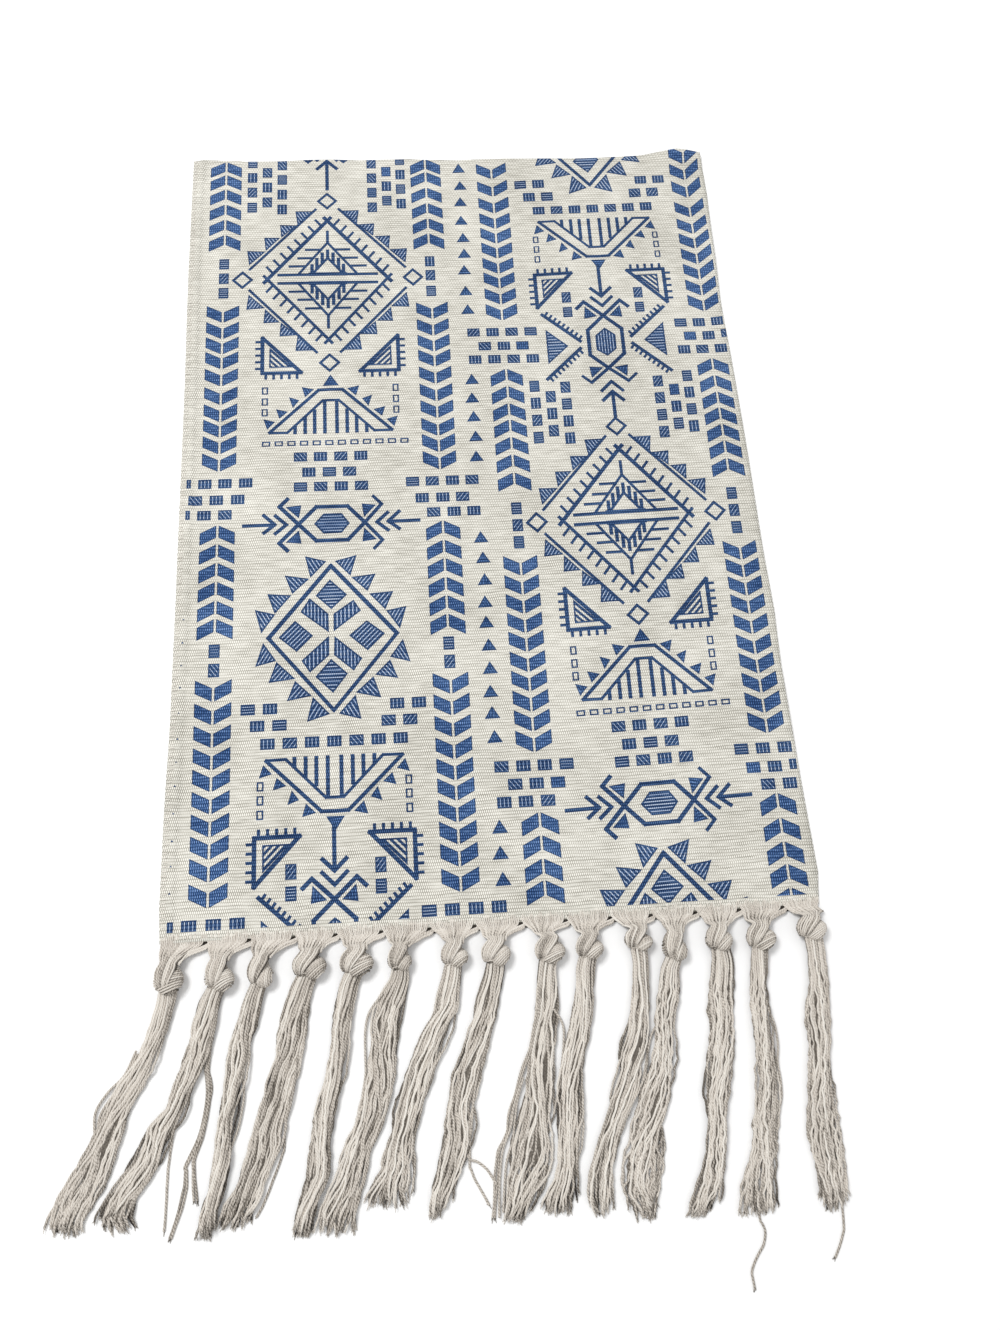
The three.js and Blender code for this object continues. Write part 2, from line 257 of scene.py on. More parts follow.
# ---------------------------------------------------------------- the print's motifs
# Each is in its own millimetres round its middle, x to the right and y down.
def big_diamond():
    """A toothed diamond with a branching figure in its middle."""
    half_width, half_height = 55.3, 66.0
    over = 6.0                               # the sides run on past the corners
    shapes = bar((0, -half_height), (-half_width, 0), 2.3, extend=over)
    shapes += flipped(bar((0, -half_height), (-half_width, 0), 1.7, extend=over))
    for i in range(8):                       # short strokes outwards from each side
        start = (-(5.4 + 6.4 * i), -half_height + 6.2 + 7.6 * i)
        tick = bar(start, (start[0] - 6.2, start[1] - 7.8), 1.3, extend=0)
        shapes += tick + flipped(tick)
    saw = bar((-10.8, -79.5), (-71.5, -11.5), 1.4)
    for (ax, ay), (bx, by), (cx, cy) in (
        ((-29.9, -77.5), (-13.2, -77.5), (-27.7, -60.5)),
        ((-44.2, -61.8), (-28.2, -61.0), (-42.9, -47.0)),
        ((-58.7, -47.5), (-43.7, -47.0), (-57.2, -32.0)),
        ((-74.2, -32.5), (-57.2, -31.5), (-72.2, -16.0)),
    ):
        saw += striped([(ax, ay), (bx, by), (cx, cy)], 58, pitch=2.9, share=0.28, margin=1.2)
    shapes += saw + flipped(saw)
    figure = bar((0, -53.5), (0, -40.5), 1.5) + bar((0, -40.5), (-27, -5), 1.3)
    figure += bar((0, -23), (-14.3, -5), 1.3) + bar((-45, -4.6), (0, -4.6), 1.8)
    figure += bar((-16, -4.9), (0, -4.9), 2.6) + bar((0, -31.5), (0, -23), 1.8)
    for outer, inner, y in ((-20, -6, -32.5), (-27, -14, -23), (-35, -21, -14)):
        figure += bar((outer, y), (inner, y), 1.4)
    for x, top, foot in ((-5, -28, -18.5), (-10, -22, -11.5), (-14.5, -15, -6)):
        figure += bar((x, top), (x, foot), 1.9)
    shapes += figure + flipped(figure)
    shapes = both_sides(shapes)
    for x, y in ((0, -89), (0.6, 90.6), (-78, 0), (78.5, 0)):
        corners = [(x, y - 8.3), (x + 8.3, y), (x, y + 8.3), (x - 8.3, y)]
        shapes += strokes(corners, 1.3, closed=True)
    return shapes


def corner_triangle():
    """A right-angled triangle with stripes inside and short strokes outside, corner at lower left."""
    shapes = strokes([(0, 0), (0, -37), (34.5, 0)], 2.2, closed=True)
    shapes += striped([(6.2, -27), (6, -5.5), (27, -5.5)], 46, pitch=3.4, share=0.42, margin=1.4, tone=BARE)
    for i in range(5):
        shapes += bar((0, -4.7 - 7.0 * i), (-6.4, -4.7 - 7.0 * i), 1.3, extend=0)
        shapes += bar((3.2 + 6.9 * i, 0), (3.2 + 6.9 * i, 6.6), 1.3, extend=0)
    return shapes


def arch():
    """A stepped arch, 60 high, with its middle at x 0 and its top triangle's tip at y 0."""
    outer, inner = 1.8, 1.3
    shapes = bar((-53.3, 57.8), (-10.5, 15.8), outer) + bar((-10.5, 15.8), (0, 15.5), outer)
    shapes += bar((-53.3, 58), (-38, 58.3), inner) + bar((-38, 58.3), (-7, 26.5), inner)
    shapes += bar((-7, 26.5), (0, 26.4), inner)
    for x, top, foot in ((-31.2, 50.5, 60), (-22.5, 43, 60), (-14.2, 35.5, 60), (-5.3, 27, 60)):
        shapes += bar((x, top), (x, foot), 1.9, extend=0)
    for corners in (
        [(-25.5, 12), (-14.5, 14.8), (-22.5, 22.7)],
        [(-36.7, 22), (-27.5, 25.5), (-33.3, 33.5)],
        [(-48, 34), (-37.3, 37), (-45, 44)],
        [(-58.8, 44), (-48.5, 47), (-55.5, 54.8)],
    ):
        shapes += striped(corners, 60, pitch=2.4, share=0.35, margin=0.9, tone=FILL)
    for y in (11.5, 22.8, 33.8):
        shapes += block(-60.4, y, "o", 5.5, 7.5)
    shapes = both_sides(shapes)
    return shapes + striped([(0, 0), (-7, 11.7), (7.5, 11.5)], 0, pitch=2.4, share=0.35, tone=FILL)


def hexagon():
    """The upright knot-like figure: a hexagon between two crossings, with its arms and arrows."""
    shapes = strokes([(0, -28), (-15.8, -13), (-15.8, 13.5), (0, 28)], 2.2)
    shapes += bar((0, -28), (17, -44), 2.2) + bar((0, 28), (17, 42.5), 1.9)
    shapes += bar((17, -44), (24, -37.2), 2.2) + bar((17, 42.5), (24.6, 35.5), 1.6)
    shapes += striped([(-16.5, -39), (-18, -25.5), (-5.5, -27.6)], 90, pitch=2.4, share=0.35, tone=FILL)
    shapes += striped([(-18, 25.5), (-16.3, 37.8), (-4.8, 27.2)], 70, pitch=2.6, share=0.35, tone=FILL)
    shapes = both_sides(shapes)
    filled = [(0, -15), (9.5, -7), (9.3, 8.2), (0.4, 15.3), (-9.4, 8.5), (-9.4, -7)]
    return shapes + striped(filled, 90, pitch=2.7, share=0.28, margin=1.5)


def turned(shapes):
    """Quarter turn."""
    return [([(y, x) for x, y in outline], tone) for outline, tone in shapes]


def long_arrow(length):
    """Two arrowheads, one behind the other, and a shaft, pointing up, with the tip at y 0."""
    shapes = strokes([(-9.6, 9.6), (0, 0), (9.6, 9.6)], 1.9)
    shapes += strokes([(-9.2, 19.6), (0, 10.6), (9.2, 19.6)], 2.1)
    return shapes + bar((0, 11), (0, length), 2.0)


def lying_hexagon():
    """The hexagon figure on its side, with an arrow pointing inwards from each end."""
    shapes = turned(hexagon())
    head = strokes([(-47.5, -8.7), (-38.2, 0), (-47.5, 8)], 1.9)
    head += strokes([(-57.3, -9.4), (-47.8, -0.4), (-57, 7)], 1.9)
    head += bar((-74, -0.2), (-48.5, -0.2), 1.9)
    return shapes + both_sides(head)


def hexagon_sides():
    """What stands to the left of the upright hexagon: a striped triangle and two toothed bars."""
    shapes = striped([(-55.5, -17), (-35.5, 1.5), (-55.5, 20)], 0, pitch=3.0, share=0.28, margin=1.4)
    for a, b in (((-57.5, -33.5), (-24, -3)), ((-57.5, 35.5), (-24.5, 4.5))):
        shapes += bar(a, b, 2.0)
        side = -1 if b[1] < 0 else 1
        for i in range(9):
            t = (i + 0.6) / 9
            x, y = a[0] + (b[0] - a[0]) * t, a[1] + (b[1] - a[1]) * t
            shapes += bar((x, y), (x + 3.3, y + side * 4.6), 1.2, extend=0)
    return shapes


def star():
    """A diamond of striped pieces with twelve points round it."""
    shapes = bar((-1, -62.3), (-52.2, 0), 2.3) + bar((-52.2, 0), (0, 63), 1.9)
    shapes += bar((-1, -62.3), (52.2, 0), 2.3) + bar((52.2, 0), (0, 63), 1.9)
    for corners, angle in (
        ([(-2, -50), (12.2, -35.8), (-1, -23.2), (-13.9, -35.8)], 0),
        ([(-1.7, 19.7), (11.7, 32.9), (-0.4, 48.7), (-14.6, 34.5)], 0),
        ([(-30.7, -14.5), (-16, -0.8), (-29.4, 12.7), (-44.1, -0.3)], -45),
        ([(27.8, -12.3), (42.5, -0.3), (28, 14), (13, 0.3)], -45),
        ([(-18.8, -33.9), (-3.4, -19.3), (-3.1, -2.9), (-26.4, -21.8)], 90),
        ([(17.3, -31), (23.3, -21.1), (0.6, -3.6), (0.6, -19.2)], 90),
        ([(-3.1, -0.3), (-3.1, 16.6), (-18.8, 30.8), (-25.7, 20.3)], 90),
        ([(1.2, 0.3), (23.6, 20.3), (16.4, 30.8), (0.6, 16.6)], 90),
    ):
        shapes += striped(corners, angle, pitch=3.0, share=0.28, margin=1.4)
    for corners, angle in (
        ([(-22.5, -72), (-4.6, -66.6), (-18.1, -52)], 60),
        ([(-39.4, -55.2), (-18.8, -51.3), (-33.1, -38.1)], 50),
        ([(-53.6, -39.2), (-33.6, -37.1), (-47.3, -21.1)], 50),
        ([(-63.6, -25.5), (-46.7, -20.8), (-58, -4.5)], 60),
        ([(2.2, -66.6), (20.6, -71.3), (15.2, -52.4)], -60),
        ([(15.6, -51.3), (36.2, -53.7), (29, -38.1)], -50),
        ([(30.1, -36), (50.3, -37.3), (43.3, -21.1)], -50),
        ([(43.8, -20.3), (60.8, -23.6), (54.8, -3.9)], -60),
        ([(-56.4, 3.7), (-62.5, 24), (-45.7, 19.7)], -60),
        ([(-45.7, 20.3), (-52, 38.2), (-30.4, 35.5)], -50),
        ([(-30.7, 37.1), (-37.3, 54), (-17.3, 50.3)], -50),
        ([(-16.7, 51.1), (-21.5, 71.9), (-3, 66.1)], -60),
        ([(57, 5), (62.5, 25), (45.9, 20.3)], 60),
        ([(45.9, 22.4), (52.2, 38.7), (33.3, 35)], 50),
        ([(32.2, 36.1), (38, 54.5), (17.5, 49.2)], 50),
        ([(17.5, 50.8), (21.9, 71.5), (3.8, 66.1)], 60),
    ):
        shapes += striped(corners, angle, pitch=2.9, share=0.27, margin=1.3)
    return shapes


BLOCK_PITCH = 17.45          # from one block of a row or column to the next


def cluster(columns, styles, count):
    """Columns of upright blocks. Each column is (x, y of its first block)."""
    shapes = []
    for i, (x, y) in enumerate(columns):
        for j in range(count):
            style = styles[(i * count + j) % len(styles)]
            shapes += block(x, y + BLOCK_PITCH * j, style, *UPRIGHT_BLOCK)
    return shapes


def band():
    """One period of a wide band, with its middle at x 0 and without its upward arrow."""
    shapes = moved(big_diamond(), -0.3, 140)
    corner = corner_triangle()
    shapes += moved(corner, -59.5, 240) + moved(mirrored(corner), 62, 240)
    shapes += moved(arch(), 0.8, 243)
    shapes += row_of("o" * 12, 309.5, [-59 + 10.9 * i for i in range(12)], (7.3, 5.0))
    shapes += row_of("\\|/|", 321, (-31.5, -14.3, 3.2, 20.5))
    shapes += row_of("|-/", 336, (-24.3, -6.8, 10.5))
    shapes += row_of("-\\|/", 350, (-31.5, -14.3, 3.2, 20.5))
    shapes += moved(lying_hexagon(), 0.4, 389.7)
    shapes += moved(star(), 0.2, 491.3)
    shapes += row_of("-|||", 546.5, (-73.5, -56, 45.0, 62.5))
    shapes += row_of("|-\\/", 560.3, (-66, -48.5, 37.8, 55))
    shapes += row_of("|/||\\||", 575.2, [-57.8 + BLOCK_PITCH * i for i in range(7)])
    shapes += moved(flipped(arch()), 0.2, 651)
    turned_corner = flipped(corner)
    shapes += moved(turned_corner, -61.5, 653.2) + moved(mirrored(turned_corner), 61, 653.2)
    shapes += moved(flipped(long_arrow(46)), -0.8, 691.5)
    shapes += moved(hexagon(), -1.0, 730.3)
    sides = hexagon_sides()
    shapes += moved(sides, -0.5, 731.5) + moved(mirrored(sides), -1.0, 729)
    for x, y, style, height in (
        (-38, 674.2, "/", 11.8), (30, 672.5, "/", 11.8), (-38, 690.8, "-", 11.2), (30, 688.9, "-", 11.2),
    ):
        shapes += block(x, y, style, 8.6, height)
    shapes += cluster([(-75, 767.8), (-47, 770.3), (38, 769.5), (65.5, 765.6)], "-|/-\\-||/\\-/-|", 4)
    shapes += cluster([(-61, 779.3), (52, 779.3)], "\\|\\#|-", 3)
    return shapes


# Where the wide bands lie: x of the middle, y of the start of the period, and the lean.
WIDE_BANDS = [(126.5, 0.0, 0.0), (126.5, -768.2, 0.0), (380.0, 253.0, -0.034), (380.0, -515.2, -0.034)]
# The bands' upward arrows: x, y of the tip and length.
UP_ARROWS = [(126.5, -6.8, 44.0), (380.0, 257.4, 36.5)]


CHEVRON_REACH = 14.6        # from a chevron's middle to the ends of its arms
CHEVRON_GAP = 0.9           # from its middle to the start of each arm
CHEVRON_DROP = 7.0          # how far an arm slants down or up
CHEVRON_DEPTH = 11.4        # height of an arm's side


def chevron(middle, y, points_up):
    """Two slanted arms side by side. y is the top of the whole chevron."""
    inner, outer = (0, CHEVRON_DROP) if points_up else (CHEVRON_DROP, 0)
    shapes = []
    for side in (-1, 1):
        corners = [
            (middle + side * CHEVRON_GAP, y + inner),
            (middle + side * CHEVRON_GAP, y + inner + CHEVRON_DEPTH),
            (middle + side * CHEVRON_REACH, y + outer + CHEVRON_DEPTH),
            (middle + side * CHEVRON_REACH, y + outer),
        ]
        shapes += striped(corners, 90, pitch=1.7, share=0.55, margin=0.7, tone=FILL)
    return shapes


# The narrow columns: a middle, the tops of the chevrons that point up and down, and blocks.
CHEVRON_COLUMNS = [
    {
        "middle": 31.2,
        "up": [4, 19.5, 36.5, 54, 71.5, 89, 388, 405.5, 422.5, 439.5, 456.5, 472.5],
        "down": [167.5, 185, 201, 216.5, 234, 252.7, 270, 285.5, 302, 319,
                 524.5, 543.6, 562, 580, 597, 614.5, 632, 649, 666, 685],
        "blocks": [("-", 116), ("/", 132), ("-", 148), ("-", 494.5), ("\\", 511)],
    },
    {
        "middle": 221.0,
        "up": [3, 18, 37, 55.5, 73.5, 91, 391, 409, 426, 443, 459.5, 476],
        "down": [168, 186, 203, 219, 237, 255, 272, 290, 306, 323,
                 527, 545, 563, 581, 598, 614, 631, 648, 665, 684],
        "blocks": [("|", 117), ("/", 132.5), ("-", 150), ("-", 496), ("/", 512)],
    },
    {
        "middle": 285.0,
        "up": [242, 260, 277.5, 294, 311.5, 329, 347, 645, 663, 681, 697.5],
        "down": [9.5, 30.5, 50, 68, 85, 102, 119.5, 136, 154, 171.5,
                 426, 443.5, 460.5, 477.5, 494, 511.5, 528, 545, 561.5, 578.5],
        "blocks": [("-", 376), ("/", 392), ("-", 408)],
    },
    {
        "middle": 475.3,
        "up": [236, 254, 271.5, 288, 305, 322, 339.5, 640, 660, 678.5, 696, 714],
        "down": [-1, 16.5, 36, 58.5, 78, 95.5, 113, 130.5, 148.5, 165.8,
                 419.5, 436, 452.5, 469, 487, 505, 521.5, 538.5, 555.5, 572.5],
        "blocks": [("-", 368), ("/", 384.5), ("-", 401)],
    },
]
# Rows of blocks that cross the narrow columns: styles, y and the left ends of the blocks.
BLOCK_ROWS = [
    ("|||", 344.5, (14, 31, 48.5)), ("\\||", 360, (6.5, 24, 42)), ("|\\", 374, (14, 31.5)),
    ("|||", 711.5, (12, 30, 47.5)),
    ("-/|\\", 348, (191, 208, 225.5, 242.5)), ("||/", 364, (198.7, 216.5, 233.5)),
    ("\\||", 378, (208, 225.5, 242.5)), ("-|||", 710.5, (190.5, 208, 226, 243.5)),
    ("/|\\-", 198, (252, 269.5, 287, 304.5)), ("\\|#", 213, (261.5, 279, 296)),
    ("||\\|", 227, (252, 269.5, 287, 304.5)),
    ("\\||-", 603, (252, 269.5, 286.5, 304)), ("\\|#", 617.5, (262, 279, 296)),
    ("||/", 631.5, (252.5, 269.5, 287)),
    ("-||", 191.8, (445.2, 462.5, 480)), ("#|", 206.5, (452.5, 470)), ("|\\|", 221, (445.2, 462.2, 479.7)),
    ("-||", 598.5, (446.3, 464, 481.8)), ("#|", 614, (454, 471.5)), ("\\|", 628, (464, 481.8)),
]
# Blocks that the sides of the cloth cut narrower: style, y, x and width.
CUT_BLOCKS = [
    ("|", 344.5, 4.5, 3.8), ("|", 374, 4.5, 3.8), ("|", 712, 2.0, 4.5),
    ("\\", 205.5, 487.6, 5.2), ("|", 613, 489.2, 6.0),
]
CUT_BLOCK_HEIGHT = 8.6
# The column of small triangles between the two middle columns: their ys, and the column's x.
TRIANGLE_COLUMN = 253.3
COLUMN_TRIANGLES = [14.7, 35.3, 54.7, 76.7, 96.7, 114.7, 133.3, 156.7, 177.3, 252, 271, 290, 310, 330,
                    408, 427, 447, 467, 485, 505, 525, 545, 563, 583, 655, 675, 695]
# Small marks down the left side: their ys. They run from x 6.0 to 3.2 mm further left.
EDGE_DOTS_START, EDGE_DOTS_LEAN = 6.0, 3.2
EDGE_DOTS = [472, 492, 511.5, 530, 551, 572, 590.5, 609.6, 631, 652, 671, 691]


def narrow_columns():
    shapes = []
    for column in CHEVRON_COLUMNS:
        middle = column["middle"]
        for y in column["up"]:
            shapes += chevron(middle, y, True)
        for y in column["down"]:
            shapes += chevron(middle, y, False)
        for style, y in column["blocks"]:
            shapes += block(middle - UPRIGHT_BLOCK[0] / 2, y, style, *UPRIGHT_BLOCK)
    for styles, y, places in BLOCK_ROWS:
        shapes += row_of(styles, y, places)
    for style, y, x, width in CUT_BLOCKS:
        shapes += block(x, y, style, width, CUT_BLOCK_HEIGHT)
    for i, y in enumerate(COLUMN_TRIANGLES):
        middle = TRIANGLE_COLUMN + 0.6 * math.sin(1.7 * i)
        corners = [(middle, y - 6), (middle + 6.4, y + 4.6), (middle - 6.4, y + 4.9)]
        shapes += striped(corners, (0, 90, 60)[i % 3], pitch=2.3, share=0.36, margin=1.0, tone=FILL)
    for i, y in enumerate(EDGE_DOTS):
        size = 0.9 if i % 2 else 0.7
        x = EDGE_DOTS_START - EDGE_DOTS_LEAN * (y - EDGE_DOTS[0]) / (EDGE_DOTS[-1] - EDGE_DOTS[0])
        shapes.append(([(x - size, y + size), (x, y - size), (x + size * 1.5, y + size)], LINE))
    return shapes


# The lifted corner draws the print up: from this x, by this share of the way past it, above this y.
CORNER_X, CORNER_SHARE, CORNER_FOOT = 475, 0.45, 250
# The top edge does so too: by this much, from this x over this width, above this y over this height.
EDGE_PULL, EDGE_X, EDGE_WIDTH, EDGE_FOOT, EDGE_HEIGHT = 3.5, 290, 20, 62, 25


def pull_up(x, y):
    """How far the top edge and its lifted corner draw the print up, on the right."""
    corner = max(0.0, x - CORNER_X) * CORNER_SHARE * max(0.0, 1 - y / CORNER_FOOT)
    across = min(1.0, max(0.0, (x - EDGE_X) / EDGE_WIDTH))
    down = min(1.0, max(0.0, (EDGE_FOOT - y) / EDGE_HEIGHT))
    return corner + EDGE_PULL * across * down


def whole_print():
    """Every shape of the print in its place on the cloth, cut off where the printing stops."""
    shapes = narrow_columns()
    motifs = band()
    for middle, start, tilt in WIDE_BANDS:
        shapes += moved(motifs, middle, start, tilt)
    for x, y, length in UP_ARROWS:
        shapes += moved(long_arrow(length), x, y)
    kept = []
    for outline, tone in shapes:
        for point, normal in (
            ((0, PRINT_FOOT), (0, -1)), ((0, PRINT_HEAD), (0, 1)), ((PRINT_RIGHT, 0), (-1, 0)),
        ):
            outline = outline and cut(outline, point, normal)
        if outline:
            outline = [(x, y - pull_up(x, y)) for x, y in outline]
            kept.append((anticlockwise(outline), tone))
    return kept


# ---------------------------------------------------------------- the cloth
def cloth_outline():
    """The panel's outline in cloth millimetres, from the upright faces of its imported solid."""
    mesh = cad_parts["panel"].data
    rim = set()
    for face in mesh.polygons:
        if abs(face.normal.z) < 0.5:
            for i in face.vertices:
                x, y, _ = to_cloth(mesh.vertices[i].co)
                rim.add((round(x, 3), round(y, 3)))
    middle = (sum(x for x, _ in rim) / len(rim), sum(y for _, y in rim) / len(rim))
    return sorted(rim, key=lambda p: math.atan2(p[1] - middle[1], p[0] - middle[0]))


def resampled(points, step):
    """A closed line with points about a step apart that keeps its corners."""
    closer = []
    for (ax, ay), (bx, by) in zip(points, points[1:] + points[:1]):
        count = max(1, round(math.hypot(bx - ax, by - ay) / step))
        for i in range(count):
            t = i / count
            closer.append((ax + (bx - ax) * t, ay + (by - ay) * t))
    return closer


OUTLINE = anticlockwise(cloth_outline())
LEFT_EDGE = sorted((y, x) for x, y in OUTLINE if x < 50)
LEFT_YS = [y for y, _ in LEFT_EDGE]
LEFT_XS = [x for _, x in LEFT_EDGE]


def left_edge(y):
    return float(np.interp(y, LEFT_YS, LEFT_XS))


def front_of_cloth(x, y):
    """Height of the cloth's printed face."""
    return lift_at(x, y) + wave_at(x, y) + thickness_at(x - left_edge(y))


def inside(points, outline, margin):
    """Which points are inside an outline and at least a margin from its sides."""
    points = np.array(points)
    a = np.array(outline)
    b = np.roll(a, -1, axis=0)
    crossings = np.zeros(len(points), bool)
    nearest = np.full(len(points), np.inf)
    for (ax, ay), (bx, by) in zip(a, b):
        spans = (ay > points[:, 1]) != (by > points[:, 1])
        if by != ay:
            at = ax + (points[:, 1] - ay) * (bx - ax) / (by - ay)
            crossings ^= spans & (points[:, 0] < at)
        d = np.array([bx - ax, by - ay])
        t = np.clip(((points - (ax, ay)) @ d) / (d @ d), 0, 1)
        nearest = np.minimum(nearest, np.hypot(*(points - (ax, ay) - t[:, None] * d).T))
    return crossings & (nearest > margin)


def grid_points(outline):
    """Evenly spread points inside the cloth, every other row moved by half a step."""
    spots = []
    for row in range(int((CLOTH_FOOT + GRID_OVERRUN) / GRID_STEP)):
        y = GRID_START + row * GRID_STEP
        for column in range(int(GRID_WIDTH / GRID_STEP)):
            spots.append((GRID_START + (column + 0.5 * (row % 2)) * GRID_STEP, y))
    keep = inside(spots, outline, RIM_MARGIN)
    return [spot for spot, kept in zip(spots, keep) if kept]


def boundary_loop(faces):
    """The points round the outside of a set of triangles, in order."""
    after = {}
    sides = {(a, b) for face in faces for a, b in zip(face, face[1:] + face[:1])}
    for a, b in sides:
        if (b, a) not in sides:
            after[a] = b
    start = next(iter(after))
    loop = [start]
    while after[loop[-1]] != start:
        loop.append(after[loop[-1]])
    return loop


def triangulated(spots, lines, outlines):
    """Triangles over the first outline that keep to every line and outline.

    Gives the points, the triangles and, for each triangle, its last outline.
    """
    points = [Vector(p) for p in spots]
    edges = []
    for line in lines:
        first = len(points)
        points += [Vector(p) for p in line]
        edges += [(first + i, first + i + 1) for i in range(len(line) - 1)]
    faces = []
    for outline in outlines:
        first = len(points)
        points += [Vector(p) for p in outline]
        faces.append(list(range(first, first + len(outline))))
    found, _, made, _, _, owners = delaunay_2d_cdt(points, edges, faces, 1, 1e-4, True)
    kept = [(list(f), max(o)) for f, o in zip(made, owners) if 0 in o and len(f) == 3]
    return [(p.x, p.y) for p in found], [f for f, _ in kept], [o for _, o in kept]


def hem_lines():
    """The two lines down the cloth between which the hem steps down."""
    first, last = 8, CLOTH_FOOT - 3
    ys = np.arange(first, last, EDGE_STEP)
    return [[(left_edge(y) + offset, y) for y in ys] for offset in (HEM_WIDTH, HEM_WIDTH + HEM_STEP)]


def make_cloth(materials):
    """One closed sheet. Its front is cut along the print, so that each face has one ink."""
    outline = resampled(OUTLINE, EDGE_STEP)
    print_shapes = whole_print()
    lines = hem_lines()
    spots = grid_points(outline)
    flat, front, owners = triangulated(spots, lines, [outline] + [o for o, _ in print_shapes])
    tones = [BARE if owner == 0 else print_shapes[owner - 1][1] for owner in owners]
    loop = boundary_loop(front)
    rim = [flat[i] for i in loop]
    back_flat, back, _ = triangulated(grid_points(rim), [], [rim])

    used = sorted({i for face in front for i in face})
    place = {old: new for new, old in enumerate(used)}
    vertices = [to_world(*flat[i], front_of_cloth(*flat[i])) for i in used]
    faces = [[place[i] for i in reversed(face)] for face in front]
    loop = [place[i] for i in loop]

    # A rounded side: one ring half way down, pushed out a little, then the back's own ring.
    middle = (sum(x for x, _ in rim) / len(rim), sum(y for _, y in rim) / len(rim))
    side_ring = len(vertices)
    for x, y in rim:
        away = math.hypot(x - middle[0], y - middle[1])
        px = x + (x - middle[0]) / away * SIDE_BULGE
        py = y + (y - middle[1]) / away * SIDE_BULGE
        vertices.append(to_world(px, py, (lift_at(x, y) + front_of_cloth(x, y)) / 2))
    back_start = len(vertices)
    back_used = sorted({i for face in back for i in face})
    back_place = {old: back_start + new for new, old in enumerate(back_used)}
    vertices += [to_world(*back_flat[i], lift_at(*back_flat[i])) for i in back_used]
    faces += [[back_place[i] for i in face] for face in back]
    tones += [BARE] * len(back)
    near = {(round(back_flat[i][0], 2), round(back_flat[i][1], 2)): back_place[i] for i in back_used}
    under = [near[(round(x, 2), round(y, 2))] for x, y in rim]
    count = len(loop)
    for i in range(count):
        j = (i + 1) % count
        faces.append([loop[i], loop[j], side_ring + j, side_ring + i])
        faces.append([side_ring + i, side_ring + j, under[j], under[i]])
        tones += [BARE, BARE]

    mesh = bpy.data.meshes.new("cloth")
    mesh.from_pydata(vertices, [], faces)
    for material in materials:
        mesh.materials.append(material)
    mesh.polygons.foreach_set("material_index", tones)
    mesh.polygons.foreach_set("use_smooth", [True] * len(mesh.polygons))
    mesh.validate()
    mesh.update()
    cloth = bpy.data.objects.new("cloth", mesh)
    bpy.context.scene.collection.objects.link(cloth)
    return cloth


# ---------------------------------------------------------------- colours and materials
def srgb(red, green, blue):
    """A colour read on the usual 0 to 255 scale, as the shader's own linear one."""
    parts = [value / 255 for value in (red, green, blue)]
    return tuple(p / 12.92 if p <= 0.04045 else ((p + 0.055) / 1.055) ** 2.4 for p in parts) + (1.0,)


WEAVE_ACROSS = 1.5 * MM     # one warp crossing
WEAVE_DOWN = 2.4 * MM       # one weft row
WEAVE_ROUND = (1.1, 0.42)   # shape of a thread across and down: above 1 is narrower, below 1 flatter
SWAY_SCALE = (26, 26, 1)    # how fast the threads drift from their places
SWAY_DOWN, SWAY_ACROSS = 1.6, 2.5
SLUB_SCALE = (60, 420, 1)   # thick places, long across the cloth
PATCH_SCALE = 14.0


class Nodes:
    """Short ways to add nodes to one material."""

    def __init__(self, name):
        self.material = bpy.data.materials.new(name)
        self.material.use_nodes = True
        self.tree = self.material.node_tree
        self.shader = self.tree.nodes["Principled BSDF"]

    def put(self, socket, value):
        if isinstance(value, bpy.types.NodeSocket):
            self.tree.links.new(value, socket)
        else:
            socket.default_value = value

    def math(self, operation, *values):
        node = self.tree.nodes.new("ShaderNodeMath")
        node.operation = operation
        for socket, value in zip(node.inputs, values):
            self.put(socket, value)
        return node.outputs[0]

    def axes(self, vector):
        node = self.tree.nodes.new("ShaderNodeSeparateXYZ")
        self.put(node.inputs[0], vector)
        return node.outputs

    def place(self):
        return self.tree.nodes.new("ShaderNodeTexCoord").outputs["Object"]

    def noise(self, vector, scale, detail=2.0, rough=0.5):
        node = self.tree.nodes.new("ShaderNodeTexNoise")
        self.put(node.inputs["Vector"], vector)
        self.put(node.inputs["Scale"], scale)
        self.put(node.inputs["Detail"], detail)
        self.put(node.inputs["Roughness"], rough)
        return node.outputs[0]

    def ramp(self, factor, stops):
        node = self.tree.nodes.new("ShaderNodeValToRGB")
        self.put(node.inputs[0], factor)
        elements = node.color_ramp.elements
        for element, (position, colour) in zip(elements, stops):
            element.position = position
            element.color = colour
        for position, colour in stops[len(elements):]:
            elements.new(position).color = colour
        return node.outputs[0]

    def stretched(self, vector, scale):
        node = self.tree.nodes.new("ShaderNodeMapping")
        self.put(node.inputs["Vector"], vector)
        node.inputs["Scale"].default_value = scale
        return node.outputs[0]

    def bump(self, height, distance, strength):
        node = self.tree.nodes.new("ShaderNodeBump")
        self.put(node.inputs["Height"], height)
        node.inputs["Distance"].default_value = distance
        node.inputs["Strength"].default_value = strength
        return node.outputs[0]


